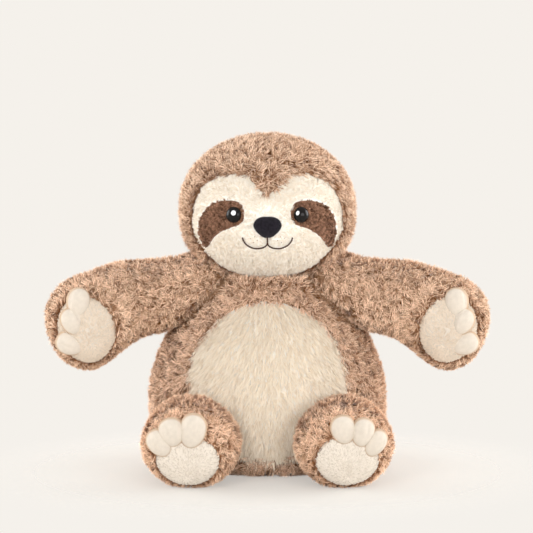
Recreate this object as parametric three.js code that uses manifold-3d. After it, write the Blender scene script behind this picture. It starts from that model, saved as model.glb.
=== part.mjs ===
// Seated plush sloth: sewn plush skins over stuffing, with ball-rooted limbs that flex at their seams.
// Millimetres, +Z up. The toy faces -Y and its own left side is +X.
// The origin is the centre of the flat underside that it sits on.

import * as THREE from 'three';
import { mergeVertices } from 'three/addons/utils/BufferGeometryUtils.js';
import Module from 'manifold-3d';

const wasm = await Module();
wasm.setup();

// Fabric, thread and fits
const fabricThickness = 2.4;
const seamGap = 0.3;
const pathGap = 0.9;
const threadThickness = 1.2;
const floorFlatDepth = 0.5;
const cutOverrun = 4;
const farLength = 400;
const weldDistance = 0.0001;

// Torso
const torsoHeight = 172;
const torsoHalfWidth = 96.5;
const torsoFrontDepth = 77;
const torsoBackDepth = 68;
const bellyTopHeight = 146;
const bellyWidestHeight = 76;
const bellyBottomHeight = 18;
const bellyHalfWidth = 67;

// Head
const neckSink = 11;
const headHalfWidth = 71;
const headFrontDepth = 57;
const headBackDepth = 57;
const headUpperHeight = 61;
const headLowerHeight = 56;
const headSetForward = 2;
const muzzleLength = 8;
const muzzleHalfWidth = 34;
const muzzleHalfHeight = 24;
const muzzleDrop = 14;
const neckOpeningRadius = 18;
const neckRingDrop = 3.5;
const neckRingHeight = 5.5;

// Face
const eyeDiameter = 13.3;
const eyeDomeHeight = 6.2;
const eyeFlangeThickness = 1.4;
const eyeFlangeBevel = 0.65;
const eyeSpacing = 53.6;
const shankDiameter = 4.6;
const shankRibHeight = 0.5;
const shankRibPitch = 2.4;
const shankLength = 15;
const washerDiameter = 17;
const washerThickness = 1.3;
const washerDish = 1.8;
const noseHalfWidth = 11.8;
const noseHeight = 17.5;
const noseTopDrop = 1;
const noseThickness = 3.2;

// Arm, from the middle of its ball root
const shoulderDrop = 21;
const shoulderInset = 4;
const shoulderSetForward = 6;
const armRootRadius = 29;
const armLength = 94;
const handHalfHeight = 38;
const handHalfDepth = 29;
const handCapLength = 39;
const armForwardAngle = 12;
const armDropAngle = 16;
const palmHalfHeight = 27.5;
const palmHalfWidth = 22;
const palmPastHand = 13;
const palmDrop = 0.5;

// Leg, from the middle of its ball root
const hipHeight = 36;
const hipFromSide = 36.5;
const hipInset = 4;
const legRootRadius = 32;
const legLength = 38;
const footHalfWidth = 38;
const footHalfHeight = 34.2;
const footCapLength = 27;
const legSplayAngle = 3;
const soleHalfWidth = 24.5;
const soleHalfHeight = 20.5;
const soleDrop = 8;
const soleOutward = 1;

// Bean pouch in the seat
const pouchHalfWidth = 50;
const pouchHalfDepth = 34;
const pouchHeight = 24;
const pouchSetBack = 16;

// Stuffed claws
const clawHalfLength = 11;
const clawHalfWidth = 9;
const clawRise = 7;

// Each claw's half length, half width and rise, as shares of those sizes
const fingerSizeShares = [[1.05, 1, 1], [0.95, 0.91, 1], [1, 0.98, 1]];
const toeSizeShares = [[1.18, 1.11, 1], [0.98, 1.09, 1], [1, 0.98, 0.93]];

// How each claw is turned on its pad, in degrees
const fingerTurns = [-18, 8, 52];
const toeTurns = [-12, 10, 35];

// Where the claws' middles lie, as shares of the hand's and the foot's half sizes from their middle
const fingerPlaceShares = [[0.35, 0.6], [0.6, 0.27], [0.76, -0.19]];
const toePlaceShares = [[-0.1, 0.52], [0.35, 0.48], [0.62, 0.21]];

// How far each seam lets its piece move from rest, in degrees
const headTurnRange = [-30, 30];
const headNodRange = [-8, 10];
const armSwingRange = [-12, 28];
const armLiftRange = [-10, 18];
const legSpreadRange = [-5, 14];
const legLiftRange = [0, 25];

// Torso stations: height, half width, front depth and back depth, as shares of the torso's sizes
const torsoShares = [
  [0, 0.62, 0.6, 0.62], [0.03, 0.82, 0.8, 0.8], [0.09, 0.925, 0.91, 0.9], [0.19, 0.985, 0.975, 0.97],
  [0.32, 1, 1, 1], [0.45, 0.975, 1, 0.985], [0.57, 0.9, 0.955, 0.93], [0.68, 0.81, 0.88, 0.84],
  [0.79, 0.7, 0.79, 0.74], [0.88, 0.59, 0.69, 0.65], [0.95, 0.47, 0.57, 0.54], [1, 0.3, 0.36, 0.35],
];

// Half outlines of the face pieces, as shares of the head's half width and of its height above
// or below the head's middle
const faceHalfShares = [
  [0, 0.25], [0.087, 0.316], [0.152, 0.43], [0.224, 0.52], [0.347, 0.557], [0.517, 0.534], [0.679, 0.434],
  [0.785, 0.27], [0.85, 0.06], [0.869, -0.16], [0.845, -0.32], [0.775, -0.47], [0.66, -0.63],
  [0.52, -0.76], [0.34, -0.86], [0.15, -0.915], [0, -0.925],
];
const patchShares = [
  [0.34, 0.185], [0.275, 0.115], [0.258, 0.01], [0.3, -0.12], [0.478, -0.213], [0.61, -0.33], [0.69, -0.48],
  [0.74, -0.49], [0.78, -0.4], [0.8, -0.26], [0.775, -0.06], [0.67, 0.11], [0.51, 0.19],
];
const noseHalfShares = [
  [0, 1], [0.42, 0.98], [0.8, 0.84], [1, 0.6], [0.84, 0.33], [0.45, 0.08], [0.18, 0], [0, 0],
];

// A claw's outer end is wider than its middle by this share, and its inner end narrower
const clawTaper = 0.12;

// Roundness of the superellipse sections: 2 is an ellipse, more is squarer
const headUpperRoundness = 2.05;
const headLowerRoundness = 2.2;
const footCapRoundness = 2.5;
const handCapRoundness = 2.1;

// How late a limb swells along its length: 1 swells at once, 2 swells halfway
const armSwellDelay = 2;
const legSwellDelay = 1;

// Counts of facets: fine ones for what shows, coarse ones for the stuffing and for what only cuts
// the coarse ones divide the fine ones, so that stuffing stays inside its skin
const fine = { sides: 20, bands: 12, rowStep: 1, limbSides: 16, rootSteps: 3, swellSteps: 3, capSteps: 4 };
const coarse = { sides: 10, bands: 6, rowStep: 2, limbSides: 8, rootSteps: 1, swellSteps: 3, capSteps: 2 };
const cutting = { sides: 14, bands: 8, rowStep: 1 };
const ringSides = 16;
const clawSides = 8;
const clawSteps = 5;
const eyeSides = 14;
const domeSteps = 4;
const roomSides = 8;
const sweepSteps = 8;
const halvings = 30;
const limbMouthAngle = 140;
const limbRingFromAngle = 120;
const ringWidthAngle = 9;
const neckDishAngle = 100;

// The torso stands back from the head by the neck's seam and a gap on each side of it
const neckSeatGrow = threadThickness + 2 * seamGap;

const headCentre = new THREE.Vector3(0, -headSetForward, torsoHeight + headLowerHeight - neckSink);
const up = new THREE.Vector3(0, 0, 1);

// Colours and surfaces
const cloth = (color, roughness) => new THREE.MeshStandardMaterial({ color, roughness, metalness: 0 });
const brownPlush = cloth(0xc8a58c, 0.95);
const creamPlush = cloth(0xf0e4d0, 0.95);
const creamVelour = cloth(0xf2e8d6, 0.9);
const darkPlush = cloth(0x7d5a48, 0.92);
const noseVelour = cloth(0x322d34, 0.85);
const fillingFibre = cloth(0xf6f6f4, 1);
const pouchCloth = cloth(0xd9d4c8, 0.9);
const brownThread = cloth(0x8a664f, 0.8);
const eyePlastic = new THREE.MeshStandardMaterial({ color: 0x0c0a0a, roughness: 0.08, metalness: 0 });
const washerPlastic = new THREE.MeshStandardMaterial({ color: 0xe6e6e2, roughness: 0.5, metalness: 0 });

// A closed geometry as a solid that can be cut and joined
function solid(geometry) {
  const bare = geometry.clone();
  bare.deleteAttribute('normal');
  bare.deleteAttribute('uv');
  const merged = mergeVertices(bare, weldDistance);
  const vertProperties = Float32Array.from(merged.getAttribute('position').array);
  const triVerts = Uint32Array.from(merged.index.array);
  return new wasm.Manifold(new wasm.Mesh({ numProp: 3, vertProperties, triVerts }));
}

// A finished solid as a named mesh
function piece(name, body, material) {
  const mesh = body.getMesh();
  const geometry = new THREE.BufferGeometry();
  geometry.setAttribute('position', new THREE.BufferAttribute(Float32Array.from(mesh.vertProperties), 3));
  geometry.setIndex(new THREE.BufferAttribute(Uint32Array.from(mesh.triVerts), 1));
  geometry.computeVertexNormals();
  const result = new THREE.Mesh(geometry, material);
  result.name = name;
  return result;
}

// The same solid on the toy's other side
function mirrored(body) {
  return body.mirror([1, 0, 0]);
}

// A body through rings of points, closed by its two end points
function loft(rings, startPoint, endPoint) {
  const sides = rings[0].length;
  const points = rings.flat();
  const faces = [];
  for (let ring = 0; ring + 1 < rings.length; ring += 1) {
    for (let side = 0; side < sides; side += 1) {
      const here = ring * sides + side;
      const next = ring * sides + (side + 1) % sides;
      faces.push(here, next, next + sides, here, next + sides, here + sides);
    }
  }
  const lastRing = (rings.length - 1) * sides;
  const start = points.push(startPoint) - 1;
  const end = points.push(endPoint) - 1;
  for (let side = 0; side < sides; side += 1) {
    const next = (side + 1) % sides;
    faces.push(start, next, side, end, lastRing + side, lastRing + next);
  }
  const geometry = new THREE.BufferGeometry();
  geometry.setFromPoints(points);
  geometry.setIndex(faces);
  return solid(geometry);
}

const turnAt = (index, count) => (2 * Math.PI * index) / count;
const powerOf = (value, roundness) => Math.sign(value) * Math.abs(value) ** (2 / roundness);
const mix = THREE.MathUtils.lerp;

// A round body's flat facets lie inside its radius by this share
const facetShare = (detail) => Math.cos(Math.PI / detail.sides) * Math.cos(Math.PI / (2 * detail.bands));
const radians = THREE.MathUtils.degToRad;

// The torso's half width, front and back at a height, between its stations
function torsoSection(height) {
  const share = THREE.MathUtils.clamp(height / torsoHeight, 0, 1);
  const above = Math.max(1, torsoShares.findIndex((row) => row[0] >= share));
  const low = torsoShares[above - 1];
  const high = torsoShares[above];
  const t = (share - low[0]) / (high[0] - low[0]);
  return {
    halfWidth: torsoHalfWidth * mix(low[1], high[1], t),
    front: torsoFrontDepth * mix(low[2], high[2], t),
    back: torsoBackDepth * mix(low[3], high[3], t),
  };
}

function torsoSolid(grow, detail, outside = 1) {
  const rows = torsoShares.filter((row, index) => index % detail.rowStep === 0 || row[0] === 1);
  const rings = rows.map((row) => {
    const section = torsoSection(row[0] * torsoHeight);
    const height = mix(-grow, torsoHeight + grow, row[0]);
    return Array.from({ length: detail.sides }, (_, side) => {
      const turn = turnAt(side, detail.sides);
      const depth = Math.sin(turn) < 0 ? section.front : section.back;
      const x = (section.halfWidth + grow) * outside * Math.cos(turn);
      const y = (depth + grow) * outside * Math.sin(turn);
      return new THREE.Vector3(x, y, height);
    });
  });
  const start = new THREE.Vector3(0, 0, -grow);
  const end = new THREE.Vector3(0, 0, torsoHeight + grow);
  return loft(rings, start, end);
}

// A point of the head's surface, by its latitude and its turn about the upright axis
function headPoint(latitude, turn, grow) {
  const rising = latitude > 0;
  const roundness = rising ? headUpperRoundness : headLowerRoundness;
  const height = (rising ? headUpperHeight : headLowerHeight) + grow;
  const reach = powerOf(Math.cos(latitude), roundness);
  const depth = (Math.sin(turn) < 0 ? headFrontDepth : headBackDepth) + grow;
  const x = (headHalfWidth + grow) * reach * Math.cos(turn);
  const z = height * powerOf(Math.sin(latitude), roundness);
  const y = depth * reach * Math.sin(turn);
  const besideMuzzle = (x / muzzleHalfWidth) ** 2 + ((z + muzzleDrop) / muzzleHalfHeight) ** 2;
  const push = Math.sin(turn) < 0 ? muzzleLength * Math.exp(-besideMuzzle) : 0;
  return new THREE.Vector3(x, y - push, z).add(headCentre);
}

function headSolid(grow, detail) {
  const rings = [];
  for (let band = 1; band < detail.bands; band += 1) {
    const latitude = Math.PI * (band / detail.bands - 0.5);
    const pointAt = (_, side) => headPoint(latitude, turnAt(side, detail.sides), grow);
    rings.push(Array.from({ length: detail.sides }, pointAt));
  }
  return loft(rings, headPoint(-Math.PI / 2, 0, grow), headPoint(Math.PI / 2, 0, grow));
}

// The head's front surface over a point of its front view: place and outward direction
function headFront(x, z) {
  const depthAt = (px, pz) => {
    const heightAbove = pz - headCentre.z;
    const rising = heightAbove > 0;
    const height = rising ? headUpperHeight : headLowerHeight;
    const roundness = rising ? headUpperRoundness : headLowerRoundness;
    const reach = (1 - (Math.abs(heightAbove) / height) ** roundness) ** (1 / roundness);
    const across = Math.sqrt(1 - (px / (headHalfWidth * reach)) ** 2);
    const besideMuzzle = (px / muzzleHalfWidth) ** 2 + ((heightAbove + muzzleDrop) / muzzleHalfHeight) ** 2;
    return headCentre.y - headFrontDepth * reach * across - muzzleLength * Math.exp(-besideMuzzle);
  };
  const place = new THREE.Vector3(x, depthAt(x, z), z);
  const slopeX = (depthAt(x + seamGap, z) - depthAt(x - seamGap, z)) / (2 * seamGap);
  const slopeZ = (depthAt(x, z + seamGap) - depthAt(x, z - seamGap)) / (2 * seamGap);
  return { place, outward: new THREE.Vector3(slopeX, -1, slopeZ).normalize() };
}

// The largest reach of the head's lower side as it turns and nods, by the angle from straight down
function headSweepRadius(angle) {
  let reach = 0;
  for (let nodStep = 0; nodStep <= 2; nodStep += 1) {
    const nod = radians(mix(headNodRange[0], headNodRange[1], nodStep / 2));
    for (let side = 0; side < fine.sides; side += 1) {
      const turn = turnAt(side, fine.sides);
      const out = Math.sin(angle);
      const ray = new THREE.Vector3(out * Math.cos(turn), out * Math.sin(turn), -Math.cos(angle));
      ray.applyAxisAngle(new THREE.Vector3(1, 0, 0), nod);
      reach = Math.max(reach, headReachAlong(ray));
    }
  }
  return reach;
}

// How far the head's surface lies from its middle along a ray, by halving
function headReachAlong(ray) {
  let inside = 0;
  let outside = farLength;
  for (let step = 0; step < halvings; step += 1) {
    const middle = (inside + outside) / 2;
    const at = ray.clone().multiplyScalar(middle);
    const height = at.z > 0 ? headUpperHeight : headLowerHeight;
    const roundness = at.z > 0 ? headUpperRoundness : headLowerRoundness;
    const besideMuzzle = (at.x / muzzleHalfWidth) ** 2 + ((at.z + muzzleDrop) / muzzleHalfHeight) ** 2;
    const depth = at.y < 0 ? headFrontDepth : headBackDepth;
    const y = at.y < 0 ? Math.min(0, at.y + muzzleLength * Math.exp(-besideMuzzle)) : at.y;
    const flat = Math.hypot(at.x / headHalfWidth, y / depth) ** roundness;
    const within = flat + (Math.abs(at.z) / height) ** roundness < 1;
    if (within) {
      inside = middle;
    } else {
      outside = middle;
    }
  }
  return inside;
}

// A turned body about the upright axis through the head's middle, from its lowest point up to an angle
// its facets lie outside all that the head reaches
function neckBowl(grow) {
  const profile = [];
  const halfStep = radians(neckDishAngle / sweepSteps / 2);
  for (let step = 0; step <= sweepSteps; step += 1) {
    const angle = 2 * halfStep * step;
    const reach = (headSweepRadius(angle) + grow) / Math.cos(halfStep);
    const across = (reach * Math.sin(angle)) / Math.cos(Math.PI / ringSides);
    profile.push(new THREE.Vector2(across, -reach * Math.cos(angle)));
  }
  profile[0].x = 0;
  profile.push(new THREE.Vector2(0, profile[sweepSteps].y));
  return latheAbout(profile, headCentre, up, ringSides);
}

// A profile of radius and height turned about an axis
function latheAbout(profile, centre, axis, sides) {
  const geometry = new THREE.LatheGeometry(profile, sides, Math.PI / sides);
  geometry.applyQuaternion(new THREE.Quaternion().setFromUnitVectors(new THREE.Vector3(0, 1, 0), axis));
  geometry.translate(centre.x, centre.y, centre.z);
  return solid(geometry);
}

// A band of thread about a ball root, between two angles from the limb's direction
function seamRing(centre, axis, radius, fromAngle) {
  const corner = (angle, grow) => {
    const reach = radius + grow;
    return new THREE.Vector2(reach * Math.sin(radians(angle)), reach * Math.cos(radians(angle)));
  };
  const toAngle = fromAngle + ringWidthAngle;
  const profile = [
    corner(fromAngle, 0), corner(toAngle, 0), corner(toAngle, threadThickness),
    corner(fromAngle, threadThickness), corner(fromAngle, 0),
  ];
  return latheAbout(profile, centre, axis, ringSides);
}

function ball(centre, radius, detail) {
  const geometry = new THREE.SphereGeometry(radius / facetShare(detail), detail.sides, detail.bands);
  geometry.rotateX(Math.PI / 2);
  geometry.translate(centre.x, centre.y, centre.z);
  return solid(geometry);
}

// A closed curve through outline points, moved outward by a distance
function smoothOutline(points, steps, grow) {
  const curve = new THREE.SplineCurve([points[points.length - 1], ...points, points[0], points[1]]);
  const count = points.length * steps;
  const from = 1 / (points.length + 2);
  const span = points.length / (points.length + 2);
  const smooth = Array.from({ length: count }, (_, step) => curve.getPoint(from + (span * step) / count));
  return smooth.map((point, index) => {
    const before = smooth[(index + count - 1) % count];
    const after = smooth[(index + 1) % count];
    const along = after.clone().sub(before).normalize();
    return point.clone().add(new THREE.Vector2(along.y, -along.x).multiplyScalar(grow));
  });
}

// An outline drawn in a plane, as a prism that runs along that plane's normal
function prism(outline, basis, length) {
  const clockwise = THREE.ShapeUtils.isClockWise(outline);
  const shape = new THREE.Shape(clockwise ? outline.slice().reverse() : outline);
  const geometry = new THREE.ExtrudeGeometry(shape, { depth: length, bevelEnabled: false });
  geometry.applyMatrix4(basis);
  return solid(geometry);
}

// The front view's plane: x across, z up, the prism running forward from a depth
function frontPrism(outline, fromY) {
  const basis = new THREE.Matrix4().makeBasis(new THREE.Vector3(1, 0, 0), up, new THREE.Vector3(0, -1, 0));
  basis.setPosition(0, fromY, 0);
  return prism(outline, basis, farLength);
}

function headShare([across, above]) {
  const height = above > 0 ? headUpperHeight : headLowerHeight;
  return new THREE.Vector2(across * headHalfWidth, headCentre.z + above * height);
}

function bothSides(halfShares, toPoint) {
  const right = halfShares.map(toPoint);
  const left = halfShares.slice(1, -1).reverse().map(([across, above]) => toPoint([-across, above]));
  return [...right, ...left].reverse();
}

function facePrism(grow) {
  return frontPrism(smoothOutline(bothSides(faceHalfShares, headShare), 1, grow), headCentre.y);
}

function patchPrism(grow) {
  return frontPrism(smoothOutline(patchShares.map(headShare), 2, grow), headCentre.y);
}

function nosePrism() {
  const bottom = headCentre.z - noseTopDrop - noseHeight;
  const toPoint = ([across, above]) => {
    return new THREE.Vector2(across * noseHalfWidth, bottom + above * noseHeight);
  };
  return frontPrism(smoothOutline(bothSides(noseHalfShares, toPoint), 2, 0), headCentre.y);
}

function bellyPrism(grow) {
  const above = bellyTopHeight - bellyWidestHeight;
  const below = bellyWidestHeight - bellyBottomHeight;
  const outline = Array.from({ length: 2 * fine.sides }, (_, side) => {
    const turn = turnAt(side, 2 * fine.sides);
    const height = Math.sin(turn) > 0 ? above : below;
    const x = (bellyHalfWidth + grow) * Math.cos(turn);
    return new THREE.Vector2(x, bellyWidestHeight + (height + grow) * Math.sin(turn));
  });
  return frontPrism(outline, 0);
}

// Safety eye: a gloss dome on a flange, with a ribbed shank that a washer locks on behind the cloth
const eyeSeat = headFront(eyeSpacing / 2, headCentre.z);
const eyeBack = seamGap;

// The head's flat facets lie up to this far inside its rounded surface
const faceSag = headHalfWidth * (1 - facetShare(fine));

function eyeSolid() {
  const dome = eyeDiameter / 2;
  const shank = shankDiameter / 2;
  const core = shank - shankRibHeight;
  const tip = eyeBack - shankLength;
  const flange = eyeBack + eyeFlangeThickness;
  const crown = eyeDomeHeight - eyeFlangeThickness;
  const corners = [[0, tip], [core, tip]];
  const ribs = Math.floor((shankLength - fabricThickness) / shankRibPitch);
  for (let rib = 0; rib < ribs; rib += 1) {
    const foot = tip + rib * shankRibPitch;
    corners.push([shank, foot + shankRibPitch / 2], [core, foot + shankRibPitch]);
  }
  corners.push([core, eyeBack], [dome - eyeFlangeBevel, eyeBack], [dome, flange]);
  for (let step = 1; step < domeSteps; step += 1) {
    const angle = (Math.PI / 2) * (step / domeSteps);
    corners.push([dome * Math.cos(angle), flange + crown * Math.sin(angle)]);
  }
  corners.push([0, flange + crown]);
  const profile = corners.map(([radius, height]) => new THREE.Vector2(radius, height));
  return latheAbout(profile, eyeSeat.place, eyeSeat.outward, eyeSides);
}

// The washer's hub bears on the cloth and its rim is dished back, clear of the rounded head
function washerSolid() {
  const bore = shankDiameter / 2 + seamGap;
  const rim = washerDiameter / 2;
  const front = -(fabricThickness + seamGap + faceSag);
  const profile = [
    new THREE.Vector2(bore, front - washerThickness),
    new THREE.Vector2(rim, front - washerDish - washerThickness),
    new THREE.Vector2(rim, front - washerDish),
    new THREE.Vector2(bore, front),
    new THREE.Vector2(bore, front - washerThickness),
  ];
  return latheAbout(profile, eyeSeat.place, eyeSeat.outward, eyeSides);
}

// A round hole from the front of the face to a depth behind it
function eyeHole(radius, depth) {
  const wide = (radius + seamGap) / Math.cos(Math.PI / roomSides);
  const back = -(depth + seamGap);
  const profile = [
    new THREE.Vector2(0, back), new THREE.Vector2(wide, back),
    new THREE.Vector2(wide, cutOverrun), new THREE.Vector2(0, cutOverrun),
  ];
  return latheAbout(profile, eyeSeat.place, eyeSeat.outward, roomSides);
}

const shankHole = () => eyeHole(shankDiameter / 2, shankLength);
const washerDepth = fabricThickness + faceSag + washerDish + washerThickness + seamGap;
const washerRoom = () => eyeHole(washerDiameter / 2, washerDepth);

// A stuffed nose that follows the muzzle under it
function noseSolid() {
  const crown = headSolid(seamGap + noseThickness, fine).intersect(nosePrism());
  return crown.subtract(headSolid(seamGap, fine));
}

// The frame of a limb: its pivot, the way it points, its side and its own upward direction
function limbFrame(pivot, yawFromFront, drop) {
  const along = new THREE.Vector3(0, -Math.cos(radians(drop)), -Math.sin(radians(drop)));
  along.applyAxisAngle(up, radians(yawFromFront));
  const side = along.clone().cross(up).normalize();
  const over = side.clone().cross(along).normalize();
  return { pivot, along, side, over };
}

function limbPlace(frame, along, side, over) {
  return frame.pivot.clone()
    .addScaledVector(frame.along, along)
    .addScaledVector(frame.side, side)
    .addScaledVector(frame.over, over);
}

// A limb: a ball root with an open mouth, a swelling length and a rounded end
function limbSolid(frame, sizes, grow, mouthRun, detail) {
  const root = sizes.rootRadius + grow;
  const stations = [];
  const mouth = radians(limbMouthAngle);
  const mouthPlace = sizes.rootRadius * Math.cos(mouth);
  if (mouthRun > 0) {
    stations.push([mouthPlace - mouthRun, root * Math.sin(mouth), root * Math.sin(mouth)]);
  }
  for (let step = 0; step < detail.rootSteps; step += 1) {
    const angle = mix(mouth, Math.PI / 2, step / detail.rootSteps);
    const along = step === 0 ? mouthPlace : root * Math.cos(angle);
    stations.push([along, root * Math.sin(angle), root * Math.sin(angle)]);
  }
  for (let step = 0; step <= detail.swellSteps; step += 1) {
    const share = step / detail.swellSteps;
    const swell = Math.sin((Math.PI / 2) * share) ** sizes.swellDelay;
    const halfSide = mix(sizes.rootRadius, sizes.halfSide, swell) + grow;
    const halfOver = mix(sizes.rootRadius, sizes.halfOver, swell) + grow;
    stations.push([sizes.reach * share, halfSide, halfOver]);
  }
  for (let step = 1; step < detail.capSteps; step += 1) {
    const angle = (Math.PI / 2) * (step / detail.capSteps);
    const across = powerOf(Math.cos(angle), sizes.capRoundness);
    const along = sizes.reach + (sizes.capReach + grow) * powerOf(Math.sin(angle), sizes.capRoundness);
    stations.push([along, (sizes.halfSide + grow) * across, (sizes.halfOver + grow) * across]);
  }
  const ringAt = ([along, halfSide, halfOver]) => Array.from({ length: detail.limbSides }, (_, side) => {
    const turn = -turnAt(side, detail.limbSides);
    return limbPlace(frame, along, halfSide * Math.cos(turn), halfOver * Math.sin(turn));
  });
  const rings = stations.map(ringAt);
  const start = limbPlace(frame, stations[0][0], 0, 0);
  return loft(rings, start, limbPlace(frame, sizes.reach + sizes.capReach + grow, 0, 0));
}

// A solid turned about a pivot by two angles in degrees, the second one first
function turnedAbout(body, pivot, outerAxis, outerAngle, innerAxis, innerAngle) {
  const turn = new THREE.Matrix4().makeTranslation(pivot.x, pivot.y, pivot.z);
  turn.multiply(new THREE.Matrix4().makeRotationAxis(outerAxis, radians(outerAngle)));
  turn.multiply(new THREE.Matrix4().makeRotationAxis(innerAxis, radians(innerAngle)));
  turn.multiply(new THREE.Matrix4().makeTranslation(-pivot.x, -pivot.y, -pivot.z));
  return body.transform(turn.elements);
}

// All that a limb would meet on its way through its ranges, as the limb sees it
function pathCuts(blocker, limb, moves) {
  let cuts = null;
  for (const [swing, lift] of moves) {
    const copy = turnedAbout(blocker, limb.frame.pivot, limb.liftAxis, -lift, limb.swingAxis, -swing);
    cuts = cuts === null ? copy : cuts.add(copy);
  }
  return cuts;
}

// Even steps through two ranges, with their ends
function movesThrough(outerRange, outerCount, innerRange, innerCount) {
  const stepsOf = ([from, to], count) => {
    const shareOf = (step) => step / Math.max(1, count - 1);
    return Array.from({ length: count }, (_, step) => mix(from, to, shareOf(step)));
  };
  return stepsOf(outerRange, outerCount)
    .flatMap((outer) => stepsOf(innerRange, innerCount).map((inner) => [outer, inner]));
}

const ringInnerRadius = (rootRadius) => (rootRadius + seamGap) / Math.cos(Math.PI / ringSides);
const socketRadius = (rootRadius) => ringInnerRadius(rootRadius) + threadThickness + seamGap;

// The toy's left arm and left leg; the right ones are their mirror images
const shoulderHeight = torsoHeight - shoulderDrop;
const shoulderAcross = torsoSection(shoulderHeight).halfWidth - shoulderInset;
const shoulder = new THREE.Vector3(shoulderAcross, -shoulderSetForward, shoulderHeight);
const hipSection = torsoSection(hipHeight);
const hipHalfSpacing = torsoHalfWidth - hipFromSide;
const hipAcross = hipHalfSpacing / hipSection.halfWidth;
const hipForward = hipSection.front * Math.sqrt(1 - hipAcross ** 2) - hipInset;
const hip = new THREE.Vector3(hipHalfSpacing, -hipForward, hipHeight);

const arm = {
  frame: limbFrame(shoulder, 90 - armForwardAngle, armDropAngle),
  sizes: {
    rootRadius: armRootRadius, reach: armLength, halfSide: handHalfDepth, halfOver: handHalfHeight,
    capReach: handCapLength, capRoundness: handCapRoundness, swellDelay: armSwellDelay,
  },
  swingAxis: new THREE.Vector3(0, 0, -1),
  liftAxis: new THREE.Vector3(0, -1, 0),
  tightestMoves: movesThrough(armSwingRange, 3, armLiftRange, 2),
  meetsHead: true,
};

// The leg drops from the hip so that its foot's underside meets the floor
const footRise = footHalfHeight - floorFlatDepth;
const legDropAngle = THREE.MathUtils.radToDeg(Math.asin((hipHeight - footRise) / legLength));
const leg = {
  frame: limbFrame(hip, legSplayAngle, legDropAngle),
  sizes: {
    rootRadius: legRootRadius, reach: legLength, halfSide: footHalfWidth, halfOver: footHalfHeight,
    capReach: footCapLength, capRoundness: footCapRoundness, swellDelay: legSwellDelay,
  },
  swingAxis: new THREE.Vector3(0, 0, 1),
  liftAxis: new THREE.Vector3(-1, 0, 0),
  tightestMoves: movesThrough(legSpreadRange, 2, legLiftRange, 2),
  meetsHead: false,
};

// What a limb is cut back by: the torso, whose cutting facets lie outside the real one's, without the
// room that the limb's ball root turns in, whose facets lie inside the real socket's; and for an arm
// the head's bowl
function limbCuts(limb, grow) {
  const roomRadius = (socketRadius(limb.sizes.rootRadius) - grow) * facetShare(cutting);
  const room = ball(limb.frame.pivot, roomRadius, cutting);
  const torso = torsoSolid(pathGap + grow, cutting, 1 / Math.cos(Math.PI / cutting.sides));
  const cuts = pathCuts(torso, limb, limb.tightestMoves).subtract(room);
  if (!limb.meetsHead) {
    return cuts;
  }
  return cuts.add(pathCuts(neckBowl(neckSeatGrow + pathGap + grow), limb, limb.tightestMoves));
}

// A limb's skin and stuffing, both kept clear of what the limb meets on its way
function limbLayers(limb) {
  const layer = (grow, mouthRun, detail) => {
    const whole = limbSolid(limb.frame, limb.sizes, grow, mouthRun, detail);
    return whole.subtract(limbCuts(limb, -grow)).trimByPlane([0, 0, 1], -grow);
  };
  const outer = layer(0, 0, fine);
  const lining = layer(-fabricThickness, cutOverrun, fine);
  const filling = layer(-fabricThickness - seamGap, 0, coarse);
  return { outer, shell: outer.subtract(lining), filling };
}


// The plane of a hand's palm or a foot's sole, with its middle at the widest station
function handBasis() {
  const { along, side, over } = arm.frame;
  const across = over.clone().cross(side);
  const middle = limbPlace(arm.frame, armLength, 0, 0);
  const basis = new THREE.Matrix4().makeBasis(across, over, side).setPosition(middle);
  return { basis, across, over, front: side, middle, outward: Math.sign(across.dot(along)) };
}

function footBasis() {
  const { along, over } = leg.frame;
  const across = over.clone().cross(along);
  const middle = limbPlace(leg.frame, legLength, 0, 0);
  const basis = new THREE.Matrix4().makeBasis(across, over, along).setPosition(middle);
  return { basis, across, over, front: along, middle, outward: Math.sign(across.x) };
}

function ovalOutline(centreX, centreY, halfWidth, halfHeight, grow) {
  return Array.from({ length: fine.sides }, (_, side) => {
    const turn = turnAt(side, fine.sides);
    const x = centreX + (halfWidth + grow) * Math.cos(turn);
    return new THREE.Vector2(x, centreY + (halfHeight + grow) * Math.sin(turn));
  });
}

function palmPrism(grow) {
  const hand = handBasis();
  const outline = ovalOutline(hand.outward * palmPastHand, -palmDrop, palmHalfWidth, palmHalfHeight, grow);
  return prism(outline, hand.basis, farLength);
}

function solePrism(grow) {
  const foot = footBasis();
  const outline = ovalOutline(foot.outward * soleOutward, -soleDrop, soleHalfWidth, soleHalfHeight, grow);
  return prism(outline, foot.basis, farLength);
}

// One stuffed claw: a tapered egg that lies on its limb
function clawSolid(plane, sizes, place, grow) {
  const lengthwise = plane.over.clone().applyAxisAngle(plane.front, -plane.outward * sizes.turn);
  const crosswise = lengthwise.clone().cross(plane.front).normalize();
  const rings = [];
  for (let step = 1; step < clawSteps; step += 1) {
    const angle = Math.PI * (step / clawSteps - 0.5);
    const across = (1 + clawTaper * Math.sin(angle)) * Math.cos(angle);
    rings.push(Array.from({ length: clawSides }, (_, side) => {
      const round = turnAt(side, clawSides);
      return place.clone()
        .addScaledVector(lengthwise, (sizes.halfLength + grow) * Math.sin(angle))
        .addScaledVector(plane.front, (sizes.rise + grow) * across * Math.cos(round))
        .addScaledVector(crosswise, (sizes.halfWidth + grow) * across * Math.sin(round));
    }));
  }
  const start = place.clone().addScaledVector(lengthwise, -sizes.halfLength - grow);
  const end = place.clone().addScaledVector(lengthwise, sizes.halfLength + grow);
  return loft(rings, start, end);
}

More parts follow.
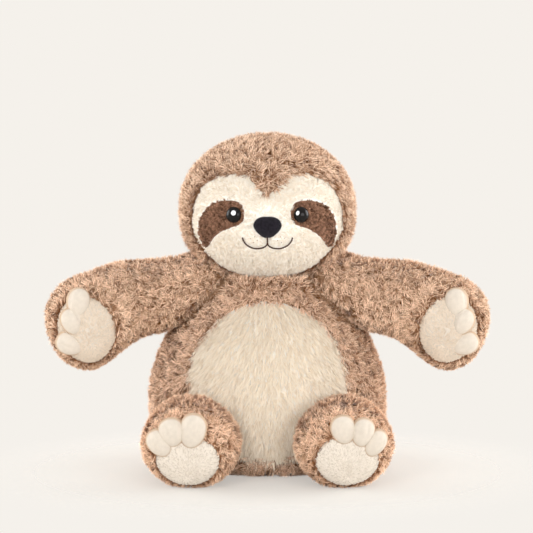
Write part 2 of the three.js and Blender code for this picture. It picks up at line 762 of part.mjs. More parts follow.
// A row of claws, each cut to its limb's surface and pressed flat against the claw before it
function clawRow(plane, claws, halfWidth, halfHeight, depthAt, limbGrown) {
  let taken = limbGrown;
  return claws.placeShares.map(([across, above], index) => {
    const [lengthShare, widthShare, riseShare] = claws.sizeShares[index];
    const sizes = {
      halfLength: clawHalfLength * lengthShare,
      halfWidth: clawHalfWidth * widthShare,
      rise: clawRise * riseShare,
      turn: radians(claws.turns[index]),
    };
    const place = plane.middle.clone()
      .addScaledVector(plane.across, plane.outward * across * halfWidth)
      .addScaledVector(plane.over, above * halfHeight)
      .addScaledVector(plane.front, depthAt([across, above]));
    const claw = clawSolid(plane, sizes, place, 0).subtract(taken);
    taken = taken.add(clawSolid(plane, sizes, place, seamGap));
    return claw;
  });
}

// How far in front of a limb's middle its rounded surface lies, at shares of its half sizes
function handDepth([across, above]) {
  const past = (across * handHalfHeight) / handCapLength;
  return handHalfDepth * Math.sqrt(Math.max(0, 1 - past ** 2 - above ** 2));
}

function footDepth([across, above]) {
  const out = (Math.abs(across) ** footCapRoundness + Math.abs(above) ** footCapRoundness);
  return footCapLength * Math.max(0, 1 - out) ** (1 / footCapRoundness);
}

const toy = new THREE.Group();
const sides = [['left', (body) => body], ['right', mirrored]];

function addHead() {
  const shell = headSolid(0, fine).subtract(headSolid(-fabricThickness, fine));
  const opening = new THREE.CylinderGeometry(neckOpeningRadius, neckOpeningRadius, farLength, fine.sides);
  opening.rotateX(Math.PI / 2);
  opening.translate(headCentre.x, headCentre.y, headCentre.z - farLength / 2);
  const bothPatches = patchPrism(seamGap).add(mirrored(patchPrism(seamGap)));
  const eyeRooms = shankHole().add(washerRoom());
  const rooms = eyeRooms.add(mirrored(eyeRooms));
  const skin = shell.subtract(facePrism(seamGap)).subtract(solid(opening));
  const panel = shell.intersect(facePrism(0)).subtract(bothPatches);
  const filling = headSolid(-fabricThickness - seamGap, coarse).subtract(rooms);
  toy.add(piece('head_skin', skin, brownPlush));
  toy.add(piece('face_panel', panel, creamPlush));
  toy.add(piece('head_stuffing', filling, fillingFibre));
  toy.add(piece('nose', noseSolid(), noseVelour));
  const patch = shell.intersect(patchPrism(0)).subtract(shankHole());
  for (const [sideName, place] of sides) {
    toy.add(piece(`eye_patch_${sideName}`, place(patch), darkPlush));
    toy.add(piece(`eye_${sideName}`, place(eyeSolid()), eyePlastic));
    toy.add(piece(`eye_washer_${sideName}`, place(washerSolid()), washerPlastic));
  }
}

function addTorso() {
  const armSocket = ball(shoulder, socketRadius(armRootRadius), cutting);
  const sockets = armSocket.add(ball(hip, socketRadius(legRootRadius), cutting));
  const rooms = neckBowl(neckSeatGrow).add(sockets).add(mirrored(sockets));
  const shell = torsoSolid(0, fine).subtract(torsoSolid(-fabricThickness, fine)).subtract(rooms);
  const lined = torsoSolid(-fabricThickness - seamGap, coarse);
  const inside = lined.subtract(rooms);
  const pouchGeometry = new THREE.SphereGeometry(1, coarse.sides, coarse.bands);
  pouchGeometry.rotateX(Math.PI / 2);
  const pouchAt = (grow) => {
    const geometry = pouchGeometry.clone();
    geometry.scale(pouchHalfWidth + grow, pouchHalfDepth + grow, pouchHeight + grow);
    geometry.translate(0, pouchSetBack, fabricThickness + seamGap);
    return solid(geometry);
  };
  const pouch = pouchAt(0).intersect(lined);
  toy.add(piece('torso_skin', shell.subtract(bellyPrism(seamGap)), brownPlush));
  toy.add(piece('belly_panel', shell.intersect(bellyPrism(0)), creamPlush));
  toy.add(piece('torso_stuffing', inside.subtract(pouchAt(seamGap)), fillingFibre));
  toy.add(piece('seat_bean_pouch', pouch, pouchCloth));
}

// The neck's seam is a band of the bowl that the head rests in
function addNeckRing() {
  const band = neckBowl(threadThickness + seamGap).subtract(neckBowl(seamGap));
  const top = torsoHeight - neckRingDrop;
  const ring = band.trimByPlane([0, 0, 1], top - neckRingHeight).trimByPlane([0, 0, -1], -top);
  toy.add(piece('neck_seam', ring, brownThread));
}

function addArms() {
  const layers = limbLayers(arm);
  const hand = handBasis();
  const skin = layers.shell.subtract(palmPrism(seamGap));
  const palm = layers.shell.intersect(palmPrism(0));
  const wholeRing = seamRing(shoulder, arm.frame.along, ringInnerRadius(armRootRadius), limbRingFromAngle);
  const ringMoves = movesThrough(armSwingRange, 3, [0, 0], 1);
  const ring = wholeRing.subtract(pathCuts(neckBowl(neckSeatGrow + pathGap), arm, ringMoves));
  const grown = limbSolid(arm.frame, arm.sizes, seamGap, 0, fine);
  const fingerClaws = { placeShares: fingerPlaceShares, sizeShares: fingerSizeShares, turns: fingerTurns };
  const fingers = clawRow(hand, fingerClaws, handHalfHeight, handHalfHeight, handDepth, grown);
  for (const [sideName, place] of sides) {
    toy.add(piece(`arm_${sideName}_skin`, place(skin), brownPlush));
    toy.add(piece(`arm_${sideName}_stuffing`, place(layers.filling), fillingFibre));
    toy.add(piece(`shoulder_seam_${sideName}`, place(ring), brownThread));
    toy.add(piece(`palm_pad_${sideName}`, place(palm), creamVelour));
    fingers.forEach((claw, index) => {
      toy.add(piece(`finger_${sideName}_${index + 1}`, place(claw), creamVelour));
    });
  }
}

function addLegs() {
  const layers = limbLayers(leg);
  const foot = footBasis();
  const skin = layers.shell.subtract(solePrism(seamGap));
  const sole = layers.shell.intersect(solePrism(0));
  const ring = seamRing(hip, leg.frame.along, ringInnerRadius(legRootRadius), limbRingFromAngle);
  const grown = limbSolid(leg.frame, leg.sizes, seamGap, 0, fine);
  const toeClaws = { placeShares: toePlaceShares, sizeShares: toeSizeShares, turns: toeTurns };
  const toes = clawRow(foot, toeClaws, footHalfWidth, footHalfHeight, footDepth, grown);
  for (const [sideName, place] of sides) {
    toy.add(piece(`leg_${sideName}_skin`, place(skin), brownPlush));
    toy.add(piece(`leg_${sideName}_stuffing`, place(layers.filling), fillingFibre));
    toy.add(piece(`hip_seam_${sideName}`, place(ring), brownThread));
    toy.add(piece(`sole_pad_${sideName}`, place(sole), creamVelour));
    toes.forEach((claw, index) => {
      toy.add(piece(`toe_${sideName}_${index + 1}`, place(claw), creamVelour));
    });
  }
}

addHead();
addTorso();
addNeckRing();
addArms();
addLegs();

export default toy;
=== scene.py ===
# Seated plush sloth: sewn skins with curled pile, velour claws and pads, domed eyes and a stitched nose
import math
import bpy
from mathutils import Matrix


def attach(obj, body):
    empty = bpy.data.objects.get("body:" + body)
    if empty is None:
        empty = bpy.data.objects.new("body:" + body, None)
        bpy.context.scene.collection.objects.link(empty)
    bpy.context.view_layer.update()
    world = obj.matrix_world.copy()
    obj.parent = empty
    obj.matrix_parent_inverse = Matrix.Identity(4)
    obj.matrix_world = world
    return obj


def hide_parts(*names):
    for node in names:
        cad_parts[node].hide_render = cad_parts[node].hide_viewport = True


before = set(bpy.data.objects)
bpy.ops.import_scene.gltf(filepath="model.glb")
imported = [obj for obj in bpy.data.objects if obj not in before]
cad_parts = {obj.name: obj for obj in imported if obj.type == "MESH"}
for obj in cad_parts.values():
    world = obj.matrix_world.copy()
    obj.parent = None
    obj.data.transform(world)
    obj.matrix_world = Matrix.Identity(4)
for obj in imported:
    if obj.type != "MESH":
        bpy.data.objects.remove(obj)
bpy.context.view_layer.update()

from types import SimpleNamespace

import bpy
import numpy as np
from bpy.props import FloatProperty, FloatVectorProperty, IntProperty, PointerProperty
from mathutils import Vector, kdtree

bl_info = {
    "name": "Plush sloth",
    "version": (1, 0, 0),
    "blender": (4, 5, 0),
    "location": "3D View > Sidebar > Plush sloth",
    "description": "Builds a seated plush sloth with real pile around its packed frame",
    "category": "Mesh",
}

MM = 0.001
SIDES = ((1, "left"), (-1, "right"))

# Sizes of the sewn forms, in millimetres
FABRIC, STUFFING_INSET = 2.4, 3.2
TORSO_HEIGHT, TORSO_HALF_WIDTH, TORSO_FRONT, TORSO_BACK = 172.0, 96.5, 77.0, 68.0
TORSO_MIDDLE, TORSO_ENDS = np.array([0, 0, 80.0]), ((0, 0, 0), (0, 0, 158))
# Shares of the torso's height, half width, front and back
TORSO_SHARES = [
    (0, 0.62, 0.6, 0.62), (0.03, 0.82, 0.8, 0.8), (0.09, 0.925, 0.91, 0.9), (0.19, 0.985, 0.975, 0.97),
    (0.32, 1, 1, 1), (0.45, 0.975, 1, 0.985), (0.57, 0.9, 0.955, 0.93), (0.68, 0.81, 0.88, 0.84),
    (0.79, 0.7, 0.75, 0.74), (0.88, 0.59, 0.59, 0.65), (0.95, 0.47, 0.42, 0.54), (1, 0.3, 0.25, 0.35),
]
BELLY_TOP, BELLY_WIDEST, BELLY_BOTTOM, BELLY_HALF_WIDTH = 145.0, 76.0, 18.0, 62.5
HEAD_CENTRE = np.array([0.0, -2.0, 217.0])
HEAD_HALF_WIDTH, HEAD_FRONT, HEAD_BACK, HEAD_UPPER, HEAD_LOWER = 70.5, 57.0, 57.0, 60.0, 57.5
HEAD_UPPER_ROUNDNESS, HEAD_LOWER_ROUNDNESS = 2.05, 2.4
HEAD_ENDS = HEAD_CENTRE - (0, 0, HEAD_LOWER), HEAD_CENTRE + (0, 0, HEAD_UPPER)
MUZZLE_LENGTH, MUZZLE_HALF_WIDTH, MUZZLE_HALF_HEIGHT, MUZZLE_DROP = 8.0, 34.0, 24.0, 14.0
# Shares of the head's half width and of its height above or below the middle
FACE_SHARES = [
    (0, 0.27), (0.087, 0.33), (0.152, 0.42), (0.224, 0.495), (0.347, 0.53), (0.517, 0.51), (0.679, 0.42),
    (0.785, 0.27), (0.85, 0.06), (0.869, -0.16), (0.845, -0.32), (0.775, -0.47), (0.66, -0.63),
    (0.52, -0.775), (0.34, -0.89), (0.15, -0.95), (0, -0.96),
]
PATCH_SHARES = [
    (0.34, 0.185), (0.275, 0.115), (0.258, 0.01), (0.3, -0.12), (0.478, -0.213), (0.61, -0.33), (0.69, -0.48),
    (0.74, -0.49), (0.78, -0.4), (0.8, -0.26), (0.775, -0.06), (0.67, 0.11), (0.51, 0.19),
]
FACE_MIDDLE, PATCH_MIDDLE = np.array([0, HEAD_CENTRE[2] - 8]), np.array([38.0, 208.0])
FACE_RISE, PATCH_RISE, BELLY_RISE, PAD_RISE, NOSE_RISE = 0.5, 1.1, 1.6, 2.2, 4.3
EYE_HALF_SPACING, EYE_RADIUS, EYE_HEIGHT, EYE_FLANGE = 26.8, 6.65, 6.2, 1.4
SHANK_RADIUS, RIB_RADIUS, SHANK_END, RIB_SPACING = 1.8, 2.3, -14.7, 2.4
NOSE_SHARES = [(0, 1.0), (0.42, 0.985), (0.8, 0.86), (1, 0.6), (0.86, 0.34), (0.5, 0.1), (0.2, 0), (0, 0)]
NOSE_HALF_WIDTH, NOSE_HEIGHT, NOSE_TOP, NOSE_MIDDLE = 11.2, 16.4, 216.0, 208.0
MOUTH = [
    (0.0, 202.0), (0.0, 196.2), (1.2, 193.4), (4.8, 191.5), (10.4, 191.2), (15.7, 193.4), (18.6, 196.8), (19.5, 199.6),
]
FRECKLES = [(7.8, 197.9), (10.8, 196.2), (12.9, 199.0), (9.9, 200.6)]

# A limb's form and its pad's place. Each claw has its place on the limb's end, shares of the claw sizes and a turn.
# Creases are places round the claws, the nap's colour is multiplied by a painted shade that darkens the palms more
# than the soles, and shortest is its pile at the seam.
ARM = SimpleNamespace(
    kind="arm", pivot=np.array([53.182, -6.0, 151.0]), yaw=78.0, drop=16.0, root=29.0, length=94.0,
    side=29.0, over=38.5, cap=39.0, roundness=2.4, delay=12, bow=8.0, wrist=3.6, aim=90.0,
    pad="palm_pad", pad_across=13.0, pad_above=-0.5, pad_half_width=22.0, pad_half_height=27.5,
    claw="finger", creases=(0.9, 5.6, 0.3), seed=10, shortest=0.25,
    claws=[((0.35, 0.6), (1.05, 1, 1), -18), ((0.6, 0.27), (0.95, 0.91, 1), 8), ((0.76, -0.19), (1, 0.98, 1), 52)],
    dullest=(0.39, 0.28, 0.17), painted_nap_shade=(0.84, 0.76, 0.68),
)
LEG = SimpleNamespace(
    kind="leg", pivot=np.array([60.0, -54.537, 36.0]), yaw=3.0, drop=3.47, root=32.0, length=38.0,
    side=37.0, over=34.0, cap=27.0, roundness=2.5, delay=1, bow=0.0, wrist=0.0, aim=60.0,
    pad="sole_pad", pad_across=1.0, pad_above=-8.0, pad_half_width=24.5, pad_half_height=20.5,
    claw="toe", creases=(5.9, 0.35, 0.5), seed=15, shortest=0.55,
    claws=[((-0.1, 0.52), (1.18, 1.11, 1), -12), ((0.35, 0.48), (0.98, 1.09, 1), 10),
           ((0.62, 0.21), (1, 0.98, 0.93), 35)],
    dullest=(0.66, 0.54, 0.42), painted_nap_shade=(0.95, 0.92, 0.89),
)
LEFT_TOES = [
    ((-0.08, 0.55), (0.98, 1.02, 1), -12), ((0.34, 0.48), (0.98, 0.95, 1), 12), ((0.62, 0.21), (0.98, 0.85, 0.93), 30),
]
CLAW_SIZES, CLAW_FULLNESS, CLAW_LIFT = (11.0, 9.0, 7.0), 1.12, 2.2
# Below this height over a claw's middle it takes the seam colour: a seam line with painted shade where it meets the
# pad and its neighbours
CLAW_SEAM_SHADE_HEIGHT, CLAW_SEAM_SHADE_FADE, CLAW_SEAM_SHADE_STRENGTH = 4.0, 1.4, 0.8
ROOT_MOUTH = math.radians(140.0)

# Each coat's hair width in millimetres, lean in radians, curl, tuft spacing in millimetres, and how much painted shade
# darkens hair where it is trimmed short beside seams
COATS = {
    "head": (0.66, 0.45, 0.55, 2.1, 0.9), "torso": (0.66, 0.5, 0.55, 2.1, 0.5), "limb": (0.66, 0.5, 0.55, 2.1, 0.15),
    "face": (0.42, 0.75, 0.4, 1.8, 0), "patch": (0.46, 0.35, 0.3, 1.9, 0), "belly": (0.55, 1.1, 0.12, 1.7, 0),
    "nap": (0.55, 1.25, 0.2, 1.4, 0),
}
PATCH_PILE, NAP_PILE, PATCH_DENSITY, NAP_DENSITY = 3.3, 1.7, 4.2, 3.2
FACE_DENSER, BELLY_DENSER, HEAD_SHORTER, LIMB_SHORTER = 1.7, 1.35, 0.95, 0.9
# How far apart patches of one shade, of one length and of one swirl lie, in millimetres
SHADE_SPACING, LENGTH_SPACING, SWIRL_SPACING = 11.0, 3.0, 9.0
# How much single hairs differ in tint, lean, aim and turn round their tuft, and how much a tuft draws its hairs in
TINT_SPREAD, LEAN_SPREAD, AIM_SPREAD, TURN_SPREAD, TUFT_PULL, TUFT_PULL_SPREAD = 0.14, 0.1, 0.12, 0.5, 0.5, 0.35
PARTING, NOSE_BRIDGE = np.array([0, -50.0, 252.0]), np.array([0, -50, 212])
MOUTH_THREAD, FRECKLE_THREAD, NECK_THREAD = 0.6, 0.34, 1.1
# How a limb is drawn in at its seam with the torso, and how the torso's skin sinks there
SEAM_PINCH, SEAM_PINCH_DEPTH, SEAM_PINCH_WIDTH, LIMB_CLEARANCE = 0.14, 3.5, 4.5, 1.2
SEAM_GROOVE, SEAM_GROOVE_WIDTH = 0.03, 5

# Each lamp's place and disk size in metres, its watts, and whether it lights more than gloss
LAMPS = {
    "key_lamp": ((-1.7, -3.3, 1.7), 1.6, 46, True), "fill_lamp": ((2.9, -3.8, 0.6), 3.5, 104, True),
    "rim_lamp": ((0.5, 3.5, 3.0), 3.5, 70, True), "left_lamp": ((-3.0, 0.7, 0.9), 2.5, 60, True),
    "right_lamp": ((3.0, 0.7, 0.9), 2.5, 78, True), "eye_lamp": ((-0.5, -0.95, 0.75), 1.2, 230, False),
}
LAMP_TARGET, CAMERA_TARGET = Vector((0, 0, 0.14)), Vector((-0.0008, 0, 0.168))
CAMERA_DISTANCE, CAMERA_RAISED, CAMERA_LENS = 2.0, math.radians(6.5), 160.2
FLOOR_HALF_SIZE, PAPER_SHADE, WORLD_STRENGTH = 6, 0.89, 0.72


class PileSettings(bpy.types.PropertyGroup):
    curl_length: FloatProperty(
        name="Curl length", description="Length of the brown curled pile", default=0.0066, unit="LENGTH")
    curl_density: FloatProperty(
        name="Curl density", description="Brown strands on each square millimetre", default=1.45, subtype="UNSIGNED")
    belly_length: FloatProperty(
        name="Belly pile", description="Length of the belly's brushed pile", default=0.0078, unit="LENGTH")
    face_length: FloatProperty(
        name="Face pile", description="Length of the face's short pile", default=0.0042, unit="LENGTH")
    seed: IntProperty(name="Seed", description="Start of the random draws", default=7, subtype="UNSIGNED")


class ColourSettings(bpy.types.PropertyGroup):
    # The pile's root colours are darker than its tips: painted shade deep in the pile
    brown_root: FloatVectorProperty(
        name="Brown root", description="Brown pile at its root", default=(0.27, 0.1, 0.035), subtype="COLOR")
    brown_tip: FloatVectorProperty(
        name="Brown tip", description="Brown pile at its tip", default=(1.0, 0.715, 0.51), subtype="COLOR")
    brown_backing: FloatVectorProperty(
        name="Brown backing", description="Ground of the brown plush", default=(0.36, 0.21, 0.125), subtype="COLOR")
    cream_root: FloatVectorProperty(
        name="Cream root", description="Cream pile at its root", default=(0.9, 0.8, 0.66), subtype="COLOR")
    cream_tip: FloatVectorProperty(
        name="Cream tip", description="Cream pile at its tip", default=(0.97, 0.93, 0.86), subtype="COLOR")
    velour: FloatVectorProperty(
        name="Velour", description="Claws and pads", default=(0.69, 0.62, 0.535), subtype="COLOR")
    patch: FloatVectorProperty(
        name="Eye patch", description="Dark pile round the eyes", default=(0.25, 0.125, 0.075), subtype="COLOR")
    nose: FloatVectorProperty(
        name="Nose", description="Nose thread", default=(0.014, 0.012, 0.017), subtype="COLOR")
    backdrop: FloatVectorProperty(
        name="Backdrop", description="Floor and background", default=(0.913, 0.88, 0.831), subtype="COLOR")


def colours():
    return bpy.context.scene.sloth_colours


def sizes():
    return bpy.context.scene.sloth_pile


def unit(vectors):
    return vectors / np.maximum(np.linalg.norm(vectors, axis=-1, keepdims=True), 1e-9)


def power(value, roundness):
    return np.sign(value) * np.abs(value) ** (2 / roundness)


def full_turn(sides):
    return np.linspace(0, 2 * math.pi, sides, endpoint=False)


def flip(points, side):
    """Points of the toy's left half, as they are or mirrored to the right."""
    return points * np.array([side, 1, 1])


def left_of(points):
    """Points brought to the toy's left half, where the limbs are measured."""
    return np.stack([np.abs(points[:, 0]), points[:, 1], points[:, 2]], 1)


def curve_through(a, b, c, d, t):
    """A smooth curve from b to c, which comes from a and goes on to d."""
    return 0.5 * (2 * b + (c - a) * t + (2 * a - 5 * b + 4 * c - d) * t ** 2 + (3 * b - a - 3 * c + d) * t ** 3)


def smooth_table(rows, count):
    """The rows of a table joined by a smooth curve."""
    table = np.array(rows, float)
    places = np.linspace(0, len(table) - 1, count)
    padded = np.vstack([2 * table[0] - table[1], table, 2 * table[-1] - table[-2]])
    index = np.minimum(places.astype(int), len(table) - 2)
    return curve_through(*(padded[index + k] for k in range(4)), (places - index)[:, None])


def travelled(path):
    """How far along a path each of its points lies."""
    return np.concatenate([[0], np.cumsum(np.linalg.norm(np.diff(path, axis=0), axis=1))])


def evenly_spaced(path, count, closed=False):
    far = travelled(path)
    wanted = np.linspace(0, far[-1], count, endpoint=not closed)
    return np.stack([np.interp(wanted, far, path[:, k]) for k in range(path.shape[1])], 1)


def even_path(points, spacing):
    """A smooth open curve through points, with evenly spaced places."""
    dense = smooth_table(points, len(points) * 40)
    return evenly_spaced(dense, max(4, int(travelled(dense)[-1] / spacing)))


def smooth_outline(points, count):
    """A closed smooth curve through outline points, evenly spaced."""
    table = np.array(points, float)
    places = np.linspace(0, len(table), count * 4, endpoint=False)
    index = places.astype(int)
    dense = curve_through(*(table[(index + k) % len(table)] for k in (-1, 0, 1, 2)), (places - index)[:, None])
    return evenly_spaced(np.vstack([dense, dense[:1]]), count, closed=True)


def head_shares(shares):
    table = np.array(shares, float)
    above = np.where(table[:, 1] > 0, HEAD_UPPER, HEAD_LOWER)
    return np.stack([table[:, 0] * HEAD_HALF_WIDTH, HEAD_CENTRE[2] + table[:, 1] * above], 1)


def mirrored_loop(points):
    return np.vstack([points, points[1:-1][::-1] * (-1, 1)])


def inside_outline(x, z, outline):
    inside = np.zeros(len(x), bool)
    for (x1, z1), (x2, z2) in zip(outline, np.roll(outline, -1, axis=0)):
        crosses = (z1 > z) != (z2 > z)
        rise = np.where(abs(z2 - z1) < 1e-9, 1e-9, z2 - z1)
        inside ^= crosses & (x < (x2 - x1) * (z - z1) / rise + x1)
    return inside


def curve_distance(x, z, path):
    """How far points of the front view lie from a path there."""
    return np.min(np.hypot(x[:, None] - path[None, :, 0], z[:, None] - path[None, :, 1]), axis=1)


TORSO_TABLE = smooth_table(TORSO_SHARES, 120)
FACE_OUTLINE = smooth_outline(mirrored_loop(head_shares(FACE_SHARES)), 200)
PATCH_OUTLINE = smooth_outline(head_shares(PATCH_SHARES), 120)
MOUTH_PATH = even_path(MOUTH, 0.35)


def torso_section(z):
    """The torso's half width, front and back at a height."""
    share = np.clip(np.asarray(z, float) / TORSO_HEIGHT, 0, 1)
    half, front, back = (np.interp(share, TORSO_TABLE[:, 0], TORSO_TABLE[:, k]) for k in (1, 2, 3))
    return TORSO_HALF_WIDTH * half, TORSO_FRONT * front, TORSO_BACK * back


def torso_front(x, z):
    half, front, _ = torso_section(z)
    return -front * np.sqrt(np.clip(1 - (x / half) ** 2, 0.0004, 1))


def torso_depth_inside(points):
    """How deep points lie inside the torso, about, in millimetres; negative outside."""
    half, front, back = torso_section(points[:, 2])
    depth = np.where(points[:, 1] < 0, front, back)
    radius = np.hypot(points[:, 0] / half, points[:, 1] / depth)
    inside = np.minimum((1 - radius) * np.minimum(half, depth), TORSO_HEIGHT - points[:, 2])
    return np.minimum(inside, points[:, 2])


def muzzle(x, above):
    """How far the muzzle swells forward."""
    return MUZZLE_LENGTH * np.exp(-((x / MUZZLE_HALF_WIDTH) ** 2 + ((above + MUZZLE_DROP) / MUZZLE_HALF_HEIGHT) ** 2))


def head_form(above):
    """The head's height and roundness above or below its middle."""
    return (np.where(above > 0, HEAD_UPPER, HEAD_LOWER),
            np.where(above > 0, HEAD_UPPER_ROUNDNESS, HEAD_LOWER_ROUNDNESS))


def head_points(latitude, turn):
    height, roundness = head_form(latitude)
    reach = power(np.cos(latitude), roundness)
    depth = np.where(np.sin(turn) < 0, HEAD_FRONT, HEAD_BACK)
    x = HEAD_HALF_WIDTH * reach * np.cos(turn)
    z = height * power(np.sin(latitude), roundness)
    y = depth * reach * np.sin(turn) - np.where(np.sin(turn) < 0, muzzle(x, z), 0)
    return np.stack([x, y, z], -1) + HEAD_CENTRE


def head_front(x, z):
    above = z - HEAD_CENTRE[2]
    height, roundness = head_form(above)
    reach = (1 - np.clip(np.abs(above) / height, 0, 0.999) ** roundness) ** (1 / roundness)
    across = np.sqrt(np.clip(1 - (x / (HEAD_HALF_WIDTH * reach)) ** 2, 0.0004, 1))
    return HEAD_CENTRE[1] - HEAD_FRONT * reach * across - muzzle(x, above)


def head_depth_inside(points):
    x, y, z = (points - HEAD_CENTRE).T
    height, _ = head_form(z)
    return (1 - np.sqrt((x / HEAD_HALF_WIDTH) ** 2 + (y / HEAD_FRONT) ** 2 + (z / height) ** 2)) * HEAD_FRONT


def head_seat(points):
    """How high the torso may reach below the head, which sits in it."""
    local = points - HEAD_CENTRE
    deep = np.where(local[:, 1] < 0, HEAD_FRONT + 60, HEAD_BACK + 2)
    flat = (local[:, 0] / (HEAD_HALF_WIDTH + 4)) ** 2 + (local[:, 1] / deep) ** 2
    bowl = HEAD_CENTRE[2] - (HEAD_LOWER + 2) * (1 - np.clip(flat, 0, 0.99) ** 1.1) ** (1 / 2.2)
    return np.where(flat < 0.9, bowl, 1e3)


def limb_frame(limb):
    """A limb's directions along it, to its side and over it."""
    drop, yaw = math.radians(limb.drop), math.radians(limb.yaw)
    along = np.array([0, -math.cos(drop), -math.sin(drop)])
    turn = np.array([[math.cos(yaw), -math.sin(yaw), 0], [math.sin(yaw), math.cos(yaw), 0], [0, 0, 1]])
    along = turn @ along
    side = np.cross(along, (0, 0, 1))
    side /= np.linalg.norm(side)
    over = np.cross(side, along)
    return along, side, over / np.linalg.norm(over)


def limb_wrist(limb, reach):
    """How much slimmer a limb is drawn in just before its padded end, from below."""
    return limb.wrist * np.exp(-((reach - 0.92 * limb.length) / 17) ** 2)


def limb_bow(limb, reach):
    """How far the middle of a limb is stuffed up from the straight line to its end."""
    middle = np.sin(math.pi * np.clip(reach / limb.length, 0, 1) ** 1.5) ** 2
    return limb.bow * middle + limb_wrist(limb, reach)


def limb_halves(limb, grown, reach):
    """A limb's half sizes to the side and over it, where its swell has grown by a share."""
    return (limb.root + (limb.side - limb.root) * grown,
            limb.root + (limb.over - limb.root) * grown - limb_wrist(limb, reach))


def limb_stations(limb, count):
    """Places along the limb with its half sizes there."""
    root = [(limb.root * math.cos(a), limb.root * math.sin(a), limb.root * math.sin(a))
            for a in np.linspace(ROOT_MOUTH, math.pi / 2, count // 3, endpoint=False)]
    swell, cap = [], []
    for share in np.linspace(0, 1, count // 3, endpoint=False):
        reach = limb.length * share
        swell.append((reach, *limb_halves(limb, math.sin(math.pi / 2 * share) ** limb.delay, reach)))
    for angle in np.linspace(0, math.pi / 2, count // 2, endpoint=False):
        across = power(math.cos(angle), limb.roundness)
        reach = limb.length + limb.cap * power(math.sin(angle), limb.roundness)
        cap.append((reach, limb.side * across, (limb.over - limb_wrist(limb, reach)) * across))
    return np.array(root + swell + cap)


def limb_depth_inside(limb, points):
    """How deep points lie inside a limb, about, in millimetres; negative outside."""
    along, side, over = limb_frame(limb)
    local = points - limb.pivot
    reach, stations = local @ along, limb_stations(limb, 90)
    half_side, half_over = (np.interp(reach, stations[:, 0], stations[:, k], left=0.1, right=0.1) for k in (1, 2))
    above = local @ over - limb_bow(limb, reach)
    return (1 - np.hypot(local @ side / half_side, above / half_over)) * np.minimum(half_side, half_over)


def limb_plane(limb):
    """The palm's or sole's plane: its middle, across, over and front directions, and which way is out."""
    along, side, over = limb_frame(limb)
    middle = limb.pivot + along * limb.length
    if limb is ARM:
        across = np.cross(over, side)
        return middle, across, over, side, np.sign(across @ along)
    across = np.cross(over, along)
    return middle, across, over, along, np.sign(across[0])


def limb_depth(limb, across, above):
    """How far in front of the plane's middle the limb's rounded surface lies."""
    if limb is ARM:
        inner = np.where(across > 0, across / limb.cap, 0)
        cap = np.clip(1 - np.abs(inner) ** limb.roundness, 0, 1) ** (1 / limb.roundness)
        grown = np.sin(np.pi / 2 * np.clip(1 + np.minimum(across, 0) / limb.length, 0, 1)) ** limb.delay
        half_side, half_over = limb_halves(limb, grown, limb.length + across)
        above = above - limb_bow(limb, limb.length + across)
        return half_side * cap * np.sqrt(np.clip(1 - (above / np.maximum(half_over * cap, 0.1)) ** 2, 0, 1))
    out = (np.abs(across / limb.side) ** 2 + np.abs(above / limb.over) ** 2) ** (limb.roundness / 2)
    return limb.cap * np.clip(1 - out, 0, 1) ** (1 / limb.roundness)


def grid_mesh(name, rings, start, end):
    """A closed mesh through rings of points (rows, sides, 3) and two end points, in millimetres."""
    rows, sides, _ = rings.shape
    points = np.vstack([rings.reshape(-1, 3), start, end]) * MM
    first, last, top = rows * sides, rows * sides + 1, (rows - 1) * sides
    faces = []
    for here in range(top):
        after = here + 1 if (here + 1) % sides else here + 1 - sides
        faces.append((here, after, after + sides, here + sides))
    for side in range(sides):
        after = (side + 1) % sides
        faces += [(first, after, side), (last, top + side, top + after)]
    mesh = bpy.data.meshes.new(name)
    mesh.from_pydata(points.tolist(), [], faces)
    mesh.shade_smooth()
    return mesh


def add_piece(name, mesh, material, body, slot, *replaced):
    piece = bpy.data.objects.new(name, mesh)
    bpy.context.scene.collection.objects.link(piece)
    mesh.materials.append(material)
    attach(piece, body)
    if replaced:
        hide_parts(*replaced)
    return piece


def sewn(name, node, rings, ends, material, body, slot, fill, side=1):
    """A stuffed piece in place of a node of the frame, closed at its two ends, on either side of the toy."""
    mesh = grid_mesh(name, flip(rings, side), *(flip(end, side) for end in ends))
    piece = add_piece(name, mesh, material, body, slot, node)
    return piece


def stuffed(name, rings, centre, ends, body):
    """Stuffing that fills a skin a little below its surface, in place of the frame's plain solid."""
    fibre = bpy.data.materials.get("Hollow fibre filling") or cloth_material(
        "Hollow fibre filling", (0.85, 0.85, 0.83), spacing=0.002, depth=0.8)
    middle, ends = np.mean(rings, axis=(0, 1)), np.array(ends, float)
    sewn(name, name.replace("_fill", "_stuffing"), rings + unit(centre - rings) * STUFFING_INSET,
         [end + unit(middle - end) * STUFFING_INSET for end in ends], fibre, body, "filling", 0.9)


def slopes(surface, a, b, step=0.3):
    """How fast a surface rises along its two directions."""
    return ((surface(a + step, b) - surface(a - step, b)) / (2 * step),
            (surface(a, b + step) - surface(a, b - step)) / (2 * step))


def over_front(front, x, z, height):
    """Points of the front view at a height over the torso's or the head's front."""
    slope_x, slope_z = slopes(front, x, z)
    outward = unit(np.stack([slope_x, -np.ones_like(slope_x), slope_z], 1))
    return np.stack([x, front(x, z), z], 1) + outward * np.reshape(height, (-1, 1))


def over_head(x, z, height):
    return over_front(head_front, x, z, height)


def over_torso(x, z, height):
    return over_front(torso_front, x, z, height)


def panel(outline, middle, place_at, rise, sunk=1.2, steps=26, crown=3.0):
    """A sewn-on panel's rings from under its rim to its middle, rounded at the rim, and its two end points."""
    def ring(share, height):
        return place_at(*(middle + (outline - middle) * share).T, height)
    under = [ring(share, -FABRIC * 0.5) for share in (0.5, 0.98)]
    shares = np.sin(np.linspace(1, 0, steps, endpoint=False) * math.pi / 2)
    rings = [ring(share, rise * (1 - share ** crown) ** (1 / crown)) for share in shares]
    return np.array(under + rings), [place_at(*middle[:, None], height)[0] for height in (-sunk, rise)]


